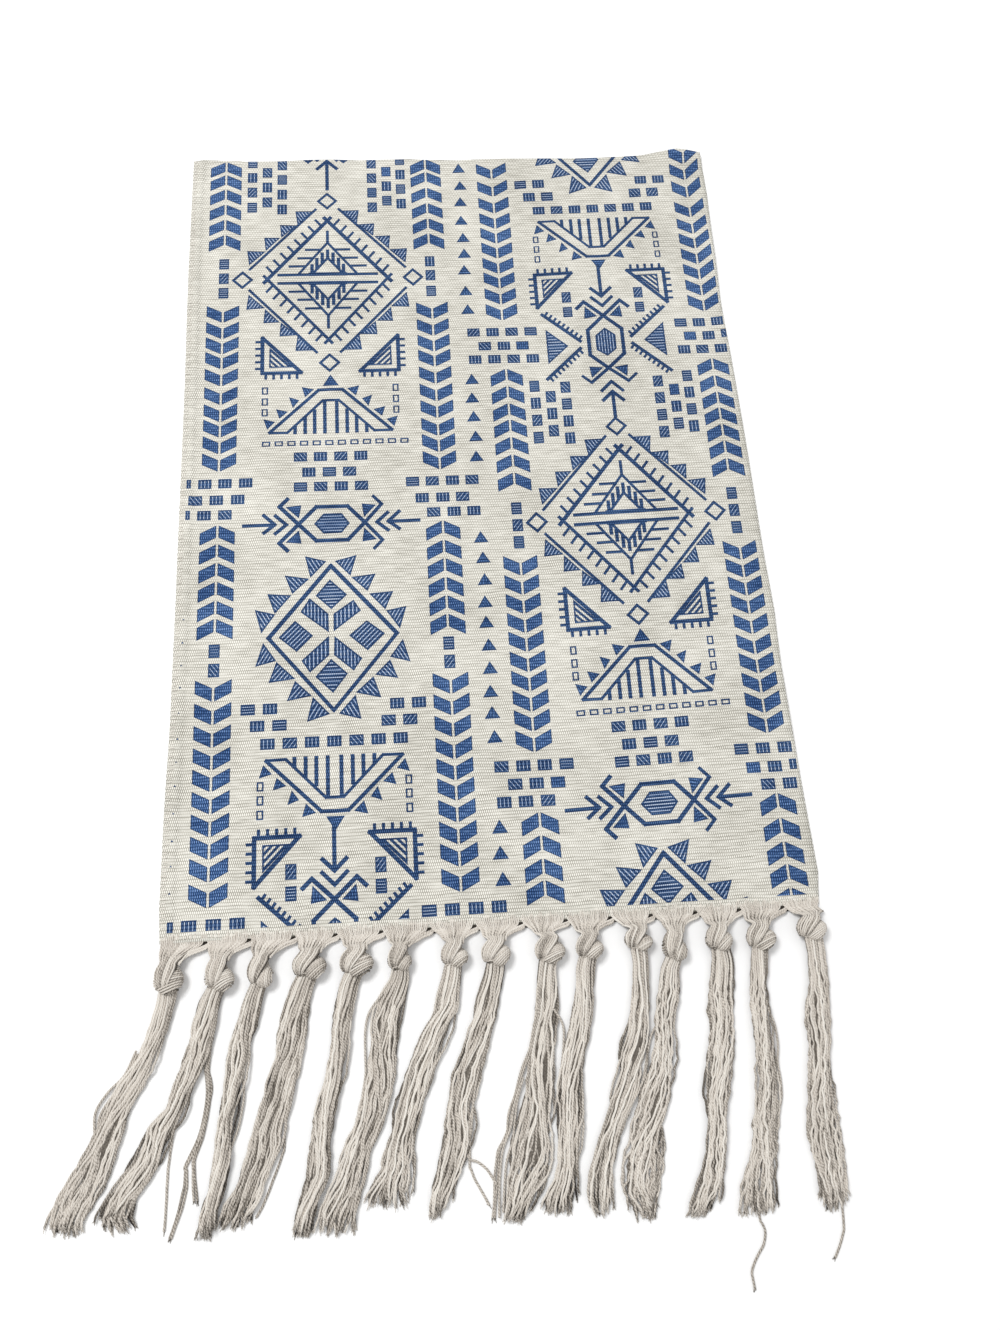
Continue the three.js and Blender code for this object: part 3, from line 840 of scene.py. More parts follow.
def weave(nodes):
    """Height of a plain weave, 0 in its pits and 1 on its threads, with uneven thread places."""
    place = nodes.place()
    sway = nodes.noise(nodes.stretched(place, SWAY_SCALE), 1.0)
    x, y, _ = nodes.axes(place)
    row = nodes.math("MULTIPLY_ADD", sway, SWAY_DOWN, nodes.math("DIVIDE", y, WEAVE_DOWN))
    parity = nodes.math("MULTIPLY", nodes.math("PINGPONG", nodes.math("FLOOR", row), 1.0), 0.5)
    column = nodes.math("ADD", nodes.math("DIVIDE", x, WEAVE_ACROSS), parity)
    column = nodes.math("MULTIPLY_ADD", sway, SWAY_ACROSS, column)
    across = nodes.math("ABSOLUTE", nodes.math("SINE", nodes.math("MULTIPLY", column, math.pi)))
    down = nodes.math("ABSOLUTE", nodes.math("SINE", nodes.math("MULTIPLY", row, math.pi)))
    across = nodes.math("POWER", across, WEAVE_ROUND[0])
    down = nodes.math("POWER", down, WEAVE_ROUND[1])
    return nodes.math("MULTIPLY", across, down)


def cloth_material(name, pits, body, peaks, spread):
    """Woven cotton, its colour set by the weave's height: dark in the pits as painted shade, light on the
    thread tops as painted light, with real uneven colour from slubs and patches. spread is how uneven the
    colour is.
    """
    nodes = Nodes(name)
    height = weave(nodes)
    place = nodes.place()
    slubs = nodes.noise(nodes.stretched(place, SLUB_SCALE), 1.0, 3.0, 0.6)
    patches = nodes.noise(place, PATCH_SCALE, 3.0, 0.55)
    level = nodes.math("MULTIPLY_ADD", nodes.math("SUBTRACT", slubs, 0.5), spread, height)
    level = nodes.math("MULTIPLY_ADD", nodes.math("SUBTRACT", patches, 0.5), spread * 0.6, level)
    # The weave's height darkens the pits as painted shade and lightens the thread tops as painted light.
    colour = nodes.ramp(level, [(0.05, pits), (1.0, peaks), (0.55, body)])
    nodes.put(nodes.shader.inputs["Base Color"], colour)
    nodes.put(nodes.shader.inputs["Normal"], nodes.bump(height, 0.35 * MM, 0.8))
    nodes.shader.inputs["Roughness"].default_value = 0.92
    nodes.shader.inputs["Specular IOR Level"].default_value = 0.15
    return nodes.material


# In the order of BARE, LINE, FILL and PALE: the colours of pits (painted shade), body and peaks (painted
# light), and the spread.
CLOTH_MATERIALS = [
    cloth_material("bare_cotton", srgb(138, 135, 125), srgb(218, 215, 204), srgb(244, 242, 234), 0.9),
    cloth_material("line_ink", srgb(16, 34, 66), srgb(30, 57, 97), srgb(84, 114, 156), 1.0),
    cloth_material("fill_ink", srgb(20, 46, 88), srgb(54, 90, 144), srgb(130, 163, 212), 1.2),
    cloth_material("pale_ink", srgb(104, 128, 166), srgb(164, 181, 208), srgb(216, 224, 233), 1.0),
]

# ---------------------------------------------------------------- yarns
SIDES = 6                    # facets round a yarn
PLY_PITCH = 4.6              # mm along a yarn for one turn of its two plies
random = np.random.default_rng(20)
# The ramp's two ends come first. Its near-black end takes the painted shade of covered and low yarns.
YARN_TONES = [
    (0.0, srgb(48, 43, 39)),
    (1.0, srgb(244, 240, 232)),
    (0.25, srgb(124, 117, 108)),
    (0.5, srgb(207, 199, 189)),
]


def ring_angles(count):
    return np.arange(count) * 2 * math.pi / count


class Yarns:
    """Collects round yarns, in cloth millimetres, and makes them into one piece."""

    def __init__(self):
        self.points = []
        self.faces = []
        self.wraps = []
        self.tones = []
        self.count = 0

    def skin(self, steps, sides, around, along, end):
        """Faces over rings of points. around, along and end place the plies' twist on them."""
        base = self.count
        for i in range(steps - 1):
            row = base + i * sides
            low, high = along[i], along[i + 1]
            for j in range(sides):
                n = (j + 1) % sides
                self.faces.append((row + j, row + n, row + sides + n, row + sides + j))
                u, w = around[j], around[j + 1]
                self.wraps += [(u, low), (w, low), (w, high), (u, high)]
        last = base + (steps - 1) * sides
        self.faces.append(tuple(range(base + sides - 1, base - 1, -1)))
        self.faces.append(tuple(range(last, last + sides)))
        self.wraps += [(0.5, 0.0)] * sides + [(0.5, end)] * sides
        self.count += steps * sides

    def add(self, paths, radius, tones, sides=SIDES):
        """Adds one tube for each path. paths is (yarns, steps, 3); radius may vary along them."""
        paths = np.asarray(paths, float)
        yarns, steps, _ = paths.shape
        radius = np.broadcast_to(np.asarray(radius, float), (yarns, steps))
        ahead = np.gradient(paths, axis=1)
        ahead /= np.linalg.norm(ahead, axis=2, keepdims=True) + 1e-9
        side = np.zeros_like(paths)
        first = np.cross(ahead[:, 0], (0.31, 0.12, 1.0))    # any way that no yarn sets out in
        side[:, 0] = first / np.linalg.norm(first, axis=1, keepdims=True)
        for i in range(1, steps):
            carried = side[:, i - 1]
            carried = carried - ahead[:, i] * np.sum(carried * ahead[:, i], axis=1, keepdims=True)
            side[:, i] = carried / (np.linalg.norm(carried, axis=1, keepdims=True) + 1e-9)
        other = np.cross(ahead, side)
        angles = ring_angles(sides)
        ring = side[:, :, None] * np.cos(angles)[:, None] + other[:, :, None] * np.sin(angles)[:, None]
        rings = paths[:, :, None] + ring * radius[:, :, None, None]
        length = np.cumsum(np.linalg.norm(np.diff(paths, axis=1, prepend=paths[:, :1]), axis=2), axis=1)
        turns = length / PLY_PITCH
        phase = random.uniform(0, 1, yarns)
        around = [j / sides for j in range(sides + 1)]
        for k in range(yarns):
            self.skin(steps, sides, around, (turns[k] + phase[k]).tolist(), turns[k, -1])
        self.points.append(rings.reshape(-1, 3))
        tones = np.asarray(tones, float)
        tones = np.broadcast_to(tones if tones.ndim == 2 else tones.reshape(-1, 1), (yarns, steps))
        self.tones.append(np.repeat(tones.ravel(), sides))

    def solid(self, rings, tone):
        """Adds one closed body through rings of points."""
        rings = np.asarray(rings, float)
        steps, sides, _ = rings.shape
        self.skin(steps, sides, [0.5] * (sides + 1), [0.0] * steps, 0.0)
        self.points.append(rings.reshape(-1, 3))
        self.tones.append(np.full(steps * sides, tone))

    def make(self, name, material):
        """Makes one piece of everything added, riding on the part's one body."""
        places = np.stack(to_world(*np.concatenate(self.points).T), axis=1)
        mesh = bpy.data.meshes.new(name)
        mesh.from_pydata(places, [], self.faces)
        mesh.uv_layers.new(name="wrap").data.foreach_set("uv", np.array(self.wraps, "f").ravel())
        tone = mesh.attributes.new("tone", "FLOAT", "POINT")
        tone.data.foreach_set("value", np.concatenate(self.tones).astype("f"))
        mesh.polygons.foreach_set("use_smooth", [True] * len(mesh.polygons))
        mesh.materials.append(material)
        mesh.flip_normals()
        piece = bpy.data.objects.new(name, mesh)
        bpy.context.scene.collection.objects.link(piece)
        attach(piece, "root")
        return piece


def yarn_material():
    """Soft two-ply cotton: the plies' twist as a bump and as painted shade in its grooves, and a tone for each
    yarn that holds its own colour and the painted shade laid on it.
    """
    nodes = Nodes("cotton_yarn")
    wrap = nodes.tree.nodes.new("ShaderNodeUVMap")
    wrap.uv_map = "wrap"
    u, v, _ = nodes.axes(wrap.outputs[0])
    turn = nodes.math("MULTIPLY", nodes.math("SUBTRACT", u, v), 2 * math.pi)
    plies = nodes.math("ABSOLUTE", nodes.math("COSINE", turn))
    tone = nodes.tree.nodes.new("ShaderNodeAttribute")
    tone.attribute_name = "tone"
    fibres = nodes.noise(nodes.place(), 900.0, 2.0, 0.6)
    level = nodes.math("MULTIPLY_ADD", nodes.math("SUBTRACT", fibres, 0.5), 0.5, tone.outputs["Fac"])
    # Darker in the grooves between the plies, as painted shade.
    level = nodes.math("MULTIPLY_ADD", nodes.math("SUBTRACT", plies, 0.75), 0.2, level)
    colour = nodes.ramp(level, YARN_TONES)
    nodes.put(nodes.shader.inputs["Base Color"], colour)
    nodes.put(nodes.shader.inputs["Normal"], nodes.bump(plies, 0.4 * MM, 0.6))
    for name, value in (
        ("Roughness", 0.9), ("Specular IOR Level", 0.1), ("Sheen Weight", 0.1), ("Sheen Roughness", 0.6),
    ):
        nodes.shader.inputs[name].default_value = value
    return nodes.material


def wander(count, steps, wave, amount, length):
    """Smooth random sideways drift along each of several yarns: a long wave and a shorter one."""
    t = np.linspace(0, length, steps)[None, :]
    total = np.zeros((count, steps))
    for share, shorter in ((0.7, 1.0), (0.3, 0.43)):
        phase = random.uniform(0, 2 * math.pi, (count, 1))
        stretch = random.uniform(0.75, 1.35, (count, 1))
        total += share * np.sin(2 * math.pi * t / (wave * shorter * stretch) + phase)
    return amount * total


def smoothed(paths, finer):
    """Extra points between those of each path, on a smooth curve through them."""
    count = paths.shape[1]
    at = np.linspace(0, count - 1, finer * count - 2)
    i = np.clip(at.astype(int), 0, count - 2)
    t = (at - i)[None, :, None]
    p0 = paths[:, np.clip(i - 1, 0, count - 1)]
    p1, p2 = paths[:, i], paths[:, i + 1]
    p3 = paths[:, np.clip(i + 2, 0, count - 1)]
    return 0.5 * (2 * p1 + (p2 - p0) * t + (2 * p0 - 5 * p1 + 4 * p2 - p3) * t ** 2
                  + (3 * p1 - 3 * p2 + p3 - p0) * t ** 3)


class Envelope:
    """The outline of one tassel or loose yarn against y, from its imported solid."""

    def __init__(self, node):
        sections = {}
        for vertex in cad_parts[node].data.vertices:
            x, y, z = to_cloth(vertex.co)
            sections.setdefault(round(y, 1), []).append((x, z))
        self.ys = np.array(sorted(sections))
        self.left = np.array([min(x for x, _ in sections[y]) for y in self.ys])
        self.right = np.array([max(x for x, _ in sections[y]) for y in self.ys])
        self.top = np.array([max(z for _, z in sections[y]) for y in self.ys])
        self.foot = np.array([min(z for _, z in sections[y]) for y in self.ys])

    def at(self, y, values):
        return np.interp(y, self.ys, values)


# ---------------------------------------------------------------- knots and gathered yarns
# The cloth's x where one tassel's warp ends stop and the next one's start.
TASSEL_BORDERS = [-2.8, 29.5, 61.5, 94, 125, 159, 195, 229, 264, 298, 332, 363.5, 398, 432, 466, 495.6]
# How the knots differ: lean of the wrap in front in degrees, its size as a share of the knot's,
# how far it lies to the right and down from the knot's middle as shares of half the knot's size,
# and how far the gathered yarns sweep left.
KNOTS = [
    (-15, 0.88, 0.04, 0.16, 0.2), (-24, 0.72, 0.26, 0.34, 0.3), (-82, 0.62, 0.24, 0.42, 0.8),
    (-34, 0.70, 0.28, 0.30, 1.0), (-22, 0.78, 0.22, 0.30, 1.0), (-46, 0.60, 0.20, 0.36, 0.6),
    (-28, 0.66, 0.28, 0.34, 0.8), (-36, 0.70, 0.24, 0.32, 1.0), (-18, 0.76, 0.22, 0.32, 0.9),
    (-30, 0.68, 0.26, 0.34, 1.0), (-20, 0.60, 0.36, 0.42, 0.7), (-66, 0.60, 0.18, 0.42, 0.5),
    (-38, 0.66, 0.26, 0.34, 0.8), (-20, 0.74, 0.24, 0.32, 1.0), (-26, 0.70, 0.26, 0.32, 1.0),
]
KNOT_ROWS = slice(3, 8)      # the sections of a tassel's solid that belong to its knot
KNOT_RISE, KNOT_LONGER = 0.4, 1.6   # how far above their middle a knot lies, and reaches past them
KNOT_Z, KNOT_HALF_Z = 7.4, 7.3      # its middle's height, and half its own
CORE_SIZE, CORE_SHADE_TONE = 0.8, 0.3     # the body in a knot: its size, and its dark tone, painted shade seen between the yarns
WRAP_YARN_RADIUS = 0.74
TURN_YARN_RADIUS = 0.7
BAND_TURN = (-28, 208)       # where a band's turn round the knot starts and ends, in degrees
BAND_JITTER = 0.12
NECK_YS = (731, 736)         # where a tassel's solid narrows above its knot
FAN_YARNS = 24               # warp ends that show above each knot
FAN_YS = (719.0, 721.5, 724.0, 726.5, 729, 731, 733.5)
FAN_LOWEST = 736.0
FAN_SIDE_YS = (717, 724, 727, 729.5, 733, 736.5, 741)
LEAVES_CLOTH = 728           # y from which the gathered yarns rise to the knot
# The gathered yarns' two layers: how much lower, how much darker as painted shade, and how much narrower each
# is.
FAN_LAYERS = ((0.0, 0.0, 1.0), (1.5, 0.34, 0.93))
# How much lower the yarns on a knot lie, in turn, and how much darker they are painted as shade.
FAN_RELIEF = ((0.0, 0.0), (0.5, 0.1), (1.7, 0.5))
# The gathered yarns' way over a knot, in halves of its size: left yarn's place, width of the
# bundle, how far down, how far the sweep bends it, and its height as a share of the knot's.
KNOT_COURSE = (
    (-0.50, 1.04, -0.80, 0.04, 0.86), (-0.62, 1.18, -0.50, -0.04, 0.98), (-0.68, 1.16, -0.18, -0.18, 1.0),
    (-0.62, 0.96, 0.14, -0.30, 1.0), (-0.52, 0.70, 0.44, -0.36, 0.94), (-0.40, 0.44, 0.70, -0.36, 0.4),
)


def wrap_band(yarns, middle, half, lean, band, count, radius, swell, tone):
    """A band of yarns side by side, wound once round a knot's body. band is its share of it."""
    way = np.array([math.cos(math.radians(lean)), math.sin(math.radians(lean)), 0.0])
    over = np.array([-way[1], way[0], 0.0])
    up = np.array([0, 0, 1.0])
    reach = 1 / math.hypot(way[0] / half[0], way[1] / half[1])
    spread = 1 / math.hypot(over[0] / half[0], over[1] / half[1])
    turn = np.linspace(math.radians(BAND_TURN[0]), math.radians(BAND_TURN[1]), 22)
    paths = []
    for i in range(count):
        s = band * (2 * (i + 0.5) / count - 1)
        profile = math.sqrt(max(0.08, 1 - min(0.97, abs(s)) ** 2))
        jitter = random.uniform(-BAND_JITTER, BAND_JITTER, 3)
        paths.append([
            middle
            + over * (s * spread * 0.96 + 0.5 * math.sin(t * 1.7 + i * 0.4) + jitter[0])
            + way * (reach * profile * swell - radius) * math.cos(t)
            + up * ((half[2] * profile * swell - radius) * math.sin(t) + jitter[1])
            for t in turn
        ])
    # Yarns at the band's edges, and where it turns down the knot's sides, are painted darker as shade.
    edge = np.abs(2 * (np.arange(count) + 0.5) / count - 1)
    shades = tone + random.uniform(-0.18, 0.18, (count, 1)) - 0.2 * edge[:, None] ** 3
    yarns.add(paths, radius, shades - 0.12 * np.cos(turn)[None, :] ** 4)


def knot(yarns, envelope, style):
    """An overhand knot: a body inside, dark as painted shade between the yarns, and two bands of yarns wound
    over it.
    """
    lean, size, shift_x, shift_y, _ = style
    ys = envelope.ys[KNOT_ROWS]
    left, right = envelope.left[KNOT_ROWS].min(), envelope.right[KNOT_ROWS].max()
    middle = np.array([(left + right) / 2, (ys[0] + ys[-1]) / 2 - KNOT_RISE, KNOT_Z])
    half = np.array([(right - left) / 2, (ys[-1] - ys[0]) / 2 + KNOT_LONGER, KNOT_HALF_Z])
    core = []
    for t in np.linspace(-1, 1, 11):
        r = math.sqrt(max(0.02, 1 - t * t)) * CORE_SIZE
        core.append([
            (
                middle[0] - half[0] * (0.12 + 0.9 * r * math.cos(a)),
                middle[1] + half[1] * 0.82 * t,
                middle[2] - 1.0 + half[2] * r * math.sin(a),
            )
            for a in ring_angles(14)
        ])
    yarns.solid(core, CORE_SHADE_TONE)
    wrap_middle = middle + half * (shift_x, shift_y, -0.02)
    wrap_half = half * (size, size * 1.02, 0.5 + 0.5 * size)
    wrap_band(yarns, wrap_middle, wrap_half, lean, 0.95, round(5 + 8 * size), WRAP_YARN_RADIUS, 1.04, 0.6)
    # The first turn, further left, comes out from under the gathered yarns.
    turn_middle = middle + half * (-0.16, 0.22, -0.16)
    turn_half = half * (0.78, 0.72, 0.84)
    wrap_band(yarns, turn_middle, turn_half, lean + 38, 0.92, 10, TURN_YARN_RADIUS, 1.0, 0.5)
    return middle, half


def over_knot(f, middle, half, sweep):
    """Where a gathered yarn lies on the knot. f is 0 at the bundle's left and 1 at its right."""
    places = []
    for start, width, down, bend, height in KNOT_COURSE:
        x = start + width * f + bend * sweep
        z = math.sqrt(max(0.04, 1 - min(0.96, x * x + down * down))) * height
        places.append(middle + half * (x, down, 0.96 * z))
    return np.array(places)


def fan_sides(envelope, borders, ys, middle, half):
    """The left and right sides of the gathered yarns at each y."""
    border_left, border_right = borders
    neck_left, neck_right = middle[0] - half[0] * 0.58, middle[0] + half[0] * 0.52
    upper, lower = (envelope.at(y, envelope.right) for y in NECK_YS)
    side_left = [border_left + inwards for inwards in (0.2, 0.6, 1.6, 3.4)]
    side_left += [
        envelope.at(733, envelope.left) + 1.4,
        neck_left * 0.6 + envelope.at(NECK_YS[1], envelope.left) * 0.4,
        neck_left,
    ]
    if border_left == TASSEL_BORDERS[0]:        # at the cloth's side they run straight down
        side_left = [border_left + 0.6] * (len(side_left) - 1) + [neck_left]
    side_right = [border_right + outwards for outwards in (0.2, 0.4, -0.4, -1.6)]
    side_right += [upper * 0.6 + lower * 0.4 + 0.8, lower + 0.2, neck_right]
    return np.interp(ys, FAN_SIDE_YS, side_left), np.interp(ys, FAN_SIDE_YS, side_right)


def fan(yarns, envelope, borders, middle, half, sweep):
    """The cloth's warp ends, gathered from its lower edge into the knot."""
    knot_top = middle[1] - half[1] * 0.8
    ys = np.array([*FAN_YS, min(FAN_LOWEST, knot_top - 2.5)])
    left, right = fan_sides(envelope, borders, ys, middle, half)
    t = np.clip((ys - LEAVES_CLOTH) / (knot_top + half[1] * 0.35 - LEAVES_CLOTH), 0, 1)
    for drop, layer_shade, squeeze in FAN_LAYERS:
        paths = []
        for i in range(FAN_YARNS):
            sunk, _ = FAN_RELIEF[i % 3]
            f = 0.5 + ((i + 0.5) / FAN_YARNS - 0.5) * squeeze
            x = left + f * (right - left) + random.uniform(-0.14, 0.14, len(ys))
            crown = 1 - (2 * f - 1) ** 2
            on_cloth = np.array([front_of_cloth(min(px, 496), min(y, 726.5)) for px, y in zip(x, ys)])
            emerge = np.clip((ys - 718.5 - random.uniform(0, 4.5)) / 4.5, 0, 1)
            z = on_cloth - 0.85 + 1.05 * emerge + (middle[2] - 3.4 + 4.6 * crown) * t ** 1.2 * 0.85
            path = np.stack([x, ys, z - drop * (0.4 + 0.6 * t)], axis=1)
            on_knot = over_knot(f, middle, half, sweep)
            on_knot[:, 2] -= sunk + drop
            paths.append(np.concatenate([path, on_knot + random.uniform(-0.15, 0.15, on_knot.shape)]))
        paths = smoothed(np.array(paths), 3)
        down = paths[:, :, 1].mean(axis=0)
        radius = np.interp(down, [719, 727, 738, middle[1]], [0.46, 0.58, 0.7, 0.7])
        # Tone along the yarns: pale like the cloth where they leave it, then darker as painted shade towards
        # the knot's lower side.
        shade_ys = [720, 728, 736, middle[1] + half[1] * 0.3, middle[1] + half[1] * 0.8]
        shade = np.interp(down, shade_ys, [0.74, 0.66, 0.6, 0.55, 0.34])
        own = random.uniform(-0.16, 0.16, (FAN_YARNS, 1))
        own = own * np.interp(down, [719, 734, 744], [0.8, 1.0, 1.4])
        # Yarns that lie lower on the knot are painted darker, as shade.
        under = np.array([FAN_RELIEF[i % 3][1] for i in range(FAN_YARNS)])[:, None]
        own = own - under * np.clip((down - 729) / 11, 0, 1)
        yarns.add(paths, radius[None, :], shade[None, :] - layer_shade + own)


def crossing_yarns(yarns, envelope, border, middle, half):
    """Yarns from beyond the right border that run down to the knot below the small opening there."""
    upper, lower = (envelope.at(y, envelope.right) for y in NECK_YS)
    paths = []
    for i in range(4):
        low = 0.85 * i
        paths.append([
            (border + 5.2 - 0.5 * i, 727.0 + low, 2.2),
            (border + 2.0, 729.6 + low, 3.0),
            (upper * 0.75 + border * 0.25 + 0.4, 731.6 + low, 3.4 + 0.3 * (i % 2)),
            (lower * 0.7 + upper * 0.3 + 0.4, 734.8 + 0.8 * low, 4.8),
            (middle[0] + half[0] * (0.62 - 0.08 * i), middle[1] - half[1] * 0.62, middle[2] + 1.0),
        ])
    yarns.add(smoothed(np.array(paths), 4), 0.7, 0.6 + random.uniform(-0.16, 0.16, 4))
    # Yarns low across the opening, coloured near black as painted shade under the ones above.
    shade_painted_yarns = []
    for i in range(6):
        y = 727.6 + 0.75 * i
        shade_painted_yarns.append([(border - 3.4, y + 0.4, 0.8), (border + 1.2, y, 0.7), (border + 6.0, y - 0.4, 0.8)])
    yarns.add(smoothed(np.array(shade_painted_yarns), 3), 0.6, 0.02)


# ---------------------------------------------------------------- tails
TAIL_YARNS = 36
TAIL_STEPS = 52              # points along each of them
GOLDEN_TURN = 2.39996        # spreads the yarns evenly over the tail's section
LOCKS = 6                    # groups of yarns that wander together
FREE_FROM, FREE_OVER = 8, 30        # mm down a tail where its yarns begin to wander, and until they do so fully
END_SPREAD = 4.6             # how unevenly the ends are cut
CLEAR_OF_FLOOR = 0.05
BOWED_YARNS = 4              # outer yarns that bow out of the tail
TAIL_TONE, TAIL_TONE_SPREAD = 0.66, 0.19
SHADE_DEPTH = 0.88           # how dark the lowest yarns are painted, as shade under the ones above
TIP_FIBRES = 4               # at each cut end
TIP_RADII = (0.42, 0.36, 0.28, 0.14)
TIP_STEPS = (0, 0.35, 0.7, 1.0)
CRINKLED_AFTER = 11          # the tassels after this one have more crinkled yarns
CRINKLED, SMOOTH = 1.0, 0.25
# Single yarns that leave a tassel and come back or end beside it: tassel number and x, y points.
STRAY_YARNS = [
    (1, [(-16, 800), (-24, 816), (-34.5, 826), (-42.5, 838), (-43, 850), (-41, 862), (-44, 880)]),
    (1, [(-15, 802), (-25, 821), (-34, 832), (-40, 843), (-40, 856), (-38, 868), (-42, 884)]),
    (3, [(60, 808), (59, 822), (60, 834), (58.4, 846), (55.8, 857), (52, 867), (49, 880)]),
    (6, [(160, 772), (150, 784), (146.5, 796), (146, 812), (146, 826), (143.5, 840), (141, 856)]),
    (8, [(209, 868), (214, 880), (218, 887), (223, 889), (229, 894), (233, 900), (235.5, 904)]),
    (9, [(284, 790), (290.5, 802), (290, 816), (287.5, 830), (285.5, 842), (282, 852), (279, 862)]),
    (9, [(259, 836), (254, 850), (251, 864), (248.5, 877), (243.5, 890), (241, 905), (239, 922)]),
    (9, [(257, 840), (251, 855), (248, 868), (241.5, 882), (238.5, 896), (237, 910), (236, 925)]),
    (12, [(366, 800), (356, 812), (351, 826), (347, 840), (343, 852), (341, 864), (342, 878)]),
    (14, [(444, 800), (448, 812), (448.5, 826), (446.5, 838), (447, 850), (446, 862), (441, 874)]),
]
STRAY_TONE = 0.46


def tail(yarns, envelope, middle, half, crinkle):
    """The loose yarns below the knot, in a few locks that wander together."""
    knot_foot = envelope.ys[KNOT_ROWS][-1]
    below = envelope.ys > knot_foot + 2
    ys, left, right = envelope.ys[below], envelope.left[below], envelope.right[below]
    # The solid's last section is narrower. The tail keeps the width of the one before, and its
    # outer yarns end earlier instead.
    lean = (left[-1] + right[-1] - left[-2] - right[-2]) / 2
    start = middle[1] + half[1] * 0.25
    root, collar = half[0] * 0.45, half[0] * 0.62
    outline_ys = [start, knot_foot + 0.5, *ys]
    outline = (
        [middle[0] - root, left[0] * 0.5 + (middle[0] - collar) * 0.5, *left[:-1], left[-2] + lean],
        [middle[0] + root, right[0] * 0.5 + (middle[0] + collar) * 0.5, *right[:-1], right[-2] + lean],
        [12.0, max(8.5, envelope.top[below][0]), *envelope.top[below]],
        [3.0, 0.8, *envelope.foot[below]],
    )

    def section(y):
        """The tail's left, right, top and foot at some y."""
        return [np.interp(y, outline_ys, side) for side in outline]

    reach = np.sqrt((np.arange(TAIL_YARNS) + 0.5) / TAIL_YARNS)
    angle = np.arange(TAIL_YARNS) * GOLDEN_TURN + random.uniform(-0.2, 0.2, TAIL_YARNS)
    lock = ((angle / (2 * math.pi)) % 1 * LOCKS).astype(int)
    end_a = reach * np.cos(angle)
    end_x = (left[-2] + right[-2]) / 2 + end_a * (right[-2] - left[-2]) / 2
    from_left = (end_x - left[-2]) / max(0.5, left[-1] - left[-2])
    from_right = (right[-2] - end_x) / max(0.5, right[-2] - right[-1])
    in_end = np.clip(np.minimum(from_left, from_right), 0, 1)
    ends = ys[-2] + (ys[-1] - ys[-2]) * in_end - np.abs(random.normal(0, END_SPREAD, TAIL_YARNS))
    t = np.linspace(0, 1, TAIL_STEPS)[None, :]
    y = start + (ends[:, None] - start) * t
    length = ys[-1] - start

    def drift(count, wave, amount):
        return wander(count, TAIL_STEPS, wave, amount, length)

    shared = drift(LOCKS, 75, 0.20)
    shared_up = drift(LOCKS, 60, 0.25)
    own = drift(TAIL_YARNS, 42, 0.07) + drift(TAIL_YARNS, 14, 0.02)
    turn = random.uniform(-1.1, 1.1) * t + 0.35 * np.sin(2 * math.pi * t * 1.3 + random.uniform(0, 6))
    free = np.clip((y - start - FREE_FROM) / FREE_OVER, 0, 1)
    # a and b are a yarn's place in the section, from -1 to 1 across it and up it.
    a = reach[:, None] * np.cos(angle[:, None] + turn) + free * (shared[lock] + own)
    b = reach[:, None] * np.sin(angle[:, None] + turn) + free * shared_up[lock]
    long = np.maximum(1, np.hypot(a, b))
    a, b = a / long, b / long
    l, r, high, low = section(y)
    lowest = YARN_RADIUS + CLEAR_OF_FLOOR
    x = (l + r) / 2 + a * np.maximum(0.5, (r - l) / 2 - YARN_RADIUS)
    z = (high + low) / 2 + b * np.maximum(0.4, (high - low) / 2 - YARN_RADIUS)
    z = np.maximum(z, lowest)
    x = x + free * drift(TAIL_YARNS, 11, 0.28 + 0.5 * crinkle)
    z = z + free * np.abs(drift(TAIL_YARNS, 16, 0.25 + 0.2 * crinkle))
    for k in np.argsort(-np.abs(end_a))[:BOWED_YARNS]:
        where, size = random.uniform(0.35, 0.8), random.uniform(1.0, 3.4)
        x[k] += np.sign(end_a[k]) * size * np.exp(-((t[0] - where) / 0.09) ** 2)
    last_stretch = np.clip((t - 0.9) / 0.1, 0, 1) ** 1.6
    x = x + last_stretch * random.normal(0, 1.5, (TAIL_YARNS, 1))
    z = np.maximum(z + last_stretch * random.normal(0.4, 0.8, (TAIL_YARNS, 1)), lowest)
    paths = np.stack([x, y, z], axis=2)
    tones = TAIL_TONE + random.uniform(-TAIL_TONE_SPREAD, TAIL_TONE_SPREAD, TAIL_YARNS)
    # The lowest yarns are painted darker as shade; the last stretch to the cut ends is darker too.
    depth = (z - low) / np.maximum(2.2, high - low)
    shades = tones[:, None] - SHADE_DEPTH * np.clip(0.84 - depth, 0, 1) ** 1.1 - 0.2 * last_stretch
    yarns.add(paths, YARN_RADIUS * (1 - 0.25 * (t > 0.985)), shades)
    frayed_tips(yarns, paths, tones - 0.14)
    tail_core(yarns, section, start + 3, ys[-1] - 34)


def frayed_tips(yarns, paths, tones):
    """Fine fibres that open out of each cut end."""
    tips = []
    for path in paths:
        end, way = path[-1], path[-1] - path[-3]
        way = way / np.linalg.norm(way)
        for _ in range(TIP_FIBRES):
            aside = random.normal(0, 0.55, 3) * (1, 1, 0.6)
            reach = random.uniform(1.8, 4.4)
            start = end - way * 1.5 + aside * 0.4
            points = [start + way * reach * s + aside * 1.0 * s * s for s in TIP_STEPS]
            tips.append([(px, py, max(0.4, pz - 0.25 * i)) for i, (px, py, pz) in enumerate(points)])
    yarns.add(tips, TIP_RADII, np.repeat(tones - 0.02, TIP_FIBRES), sides=4)


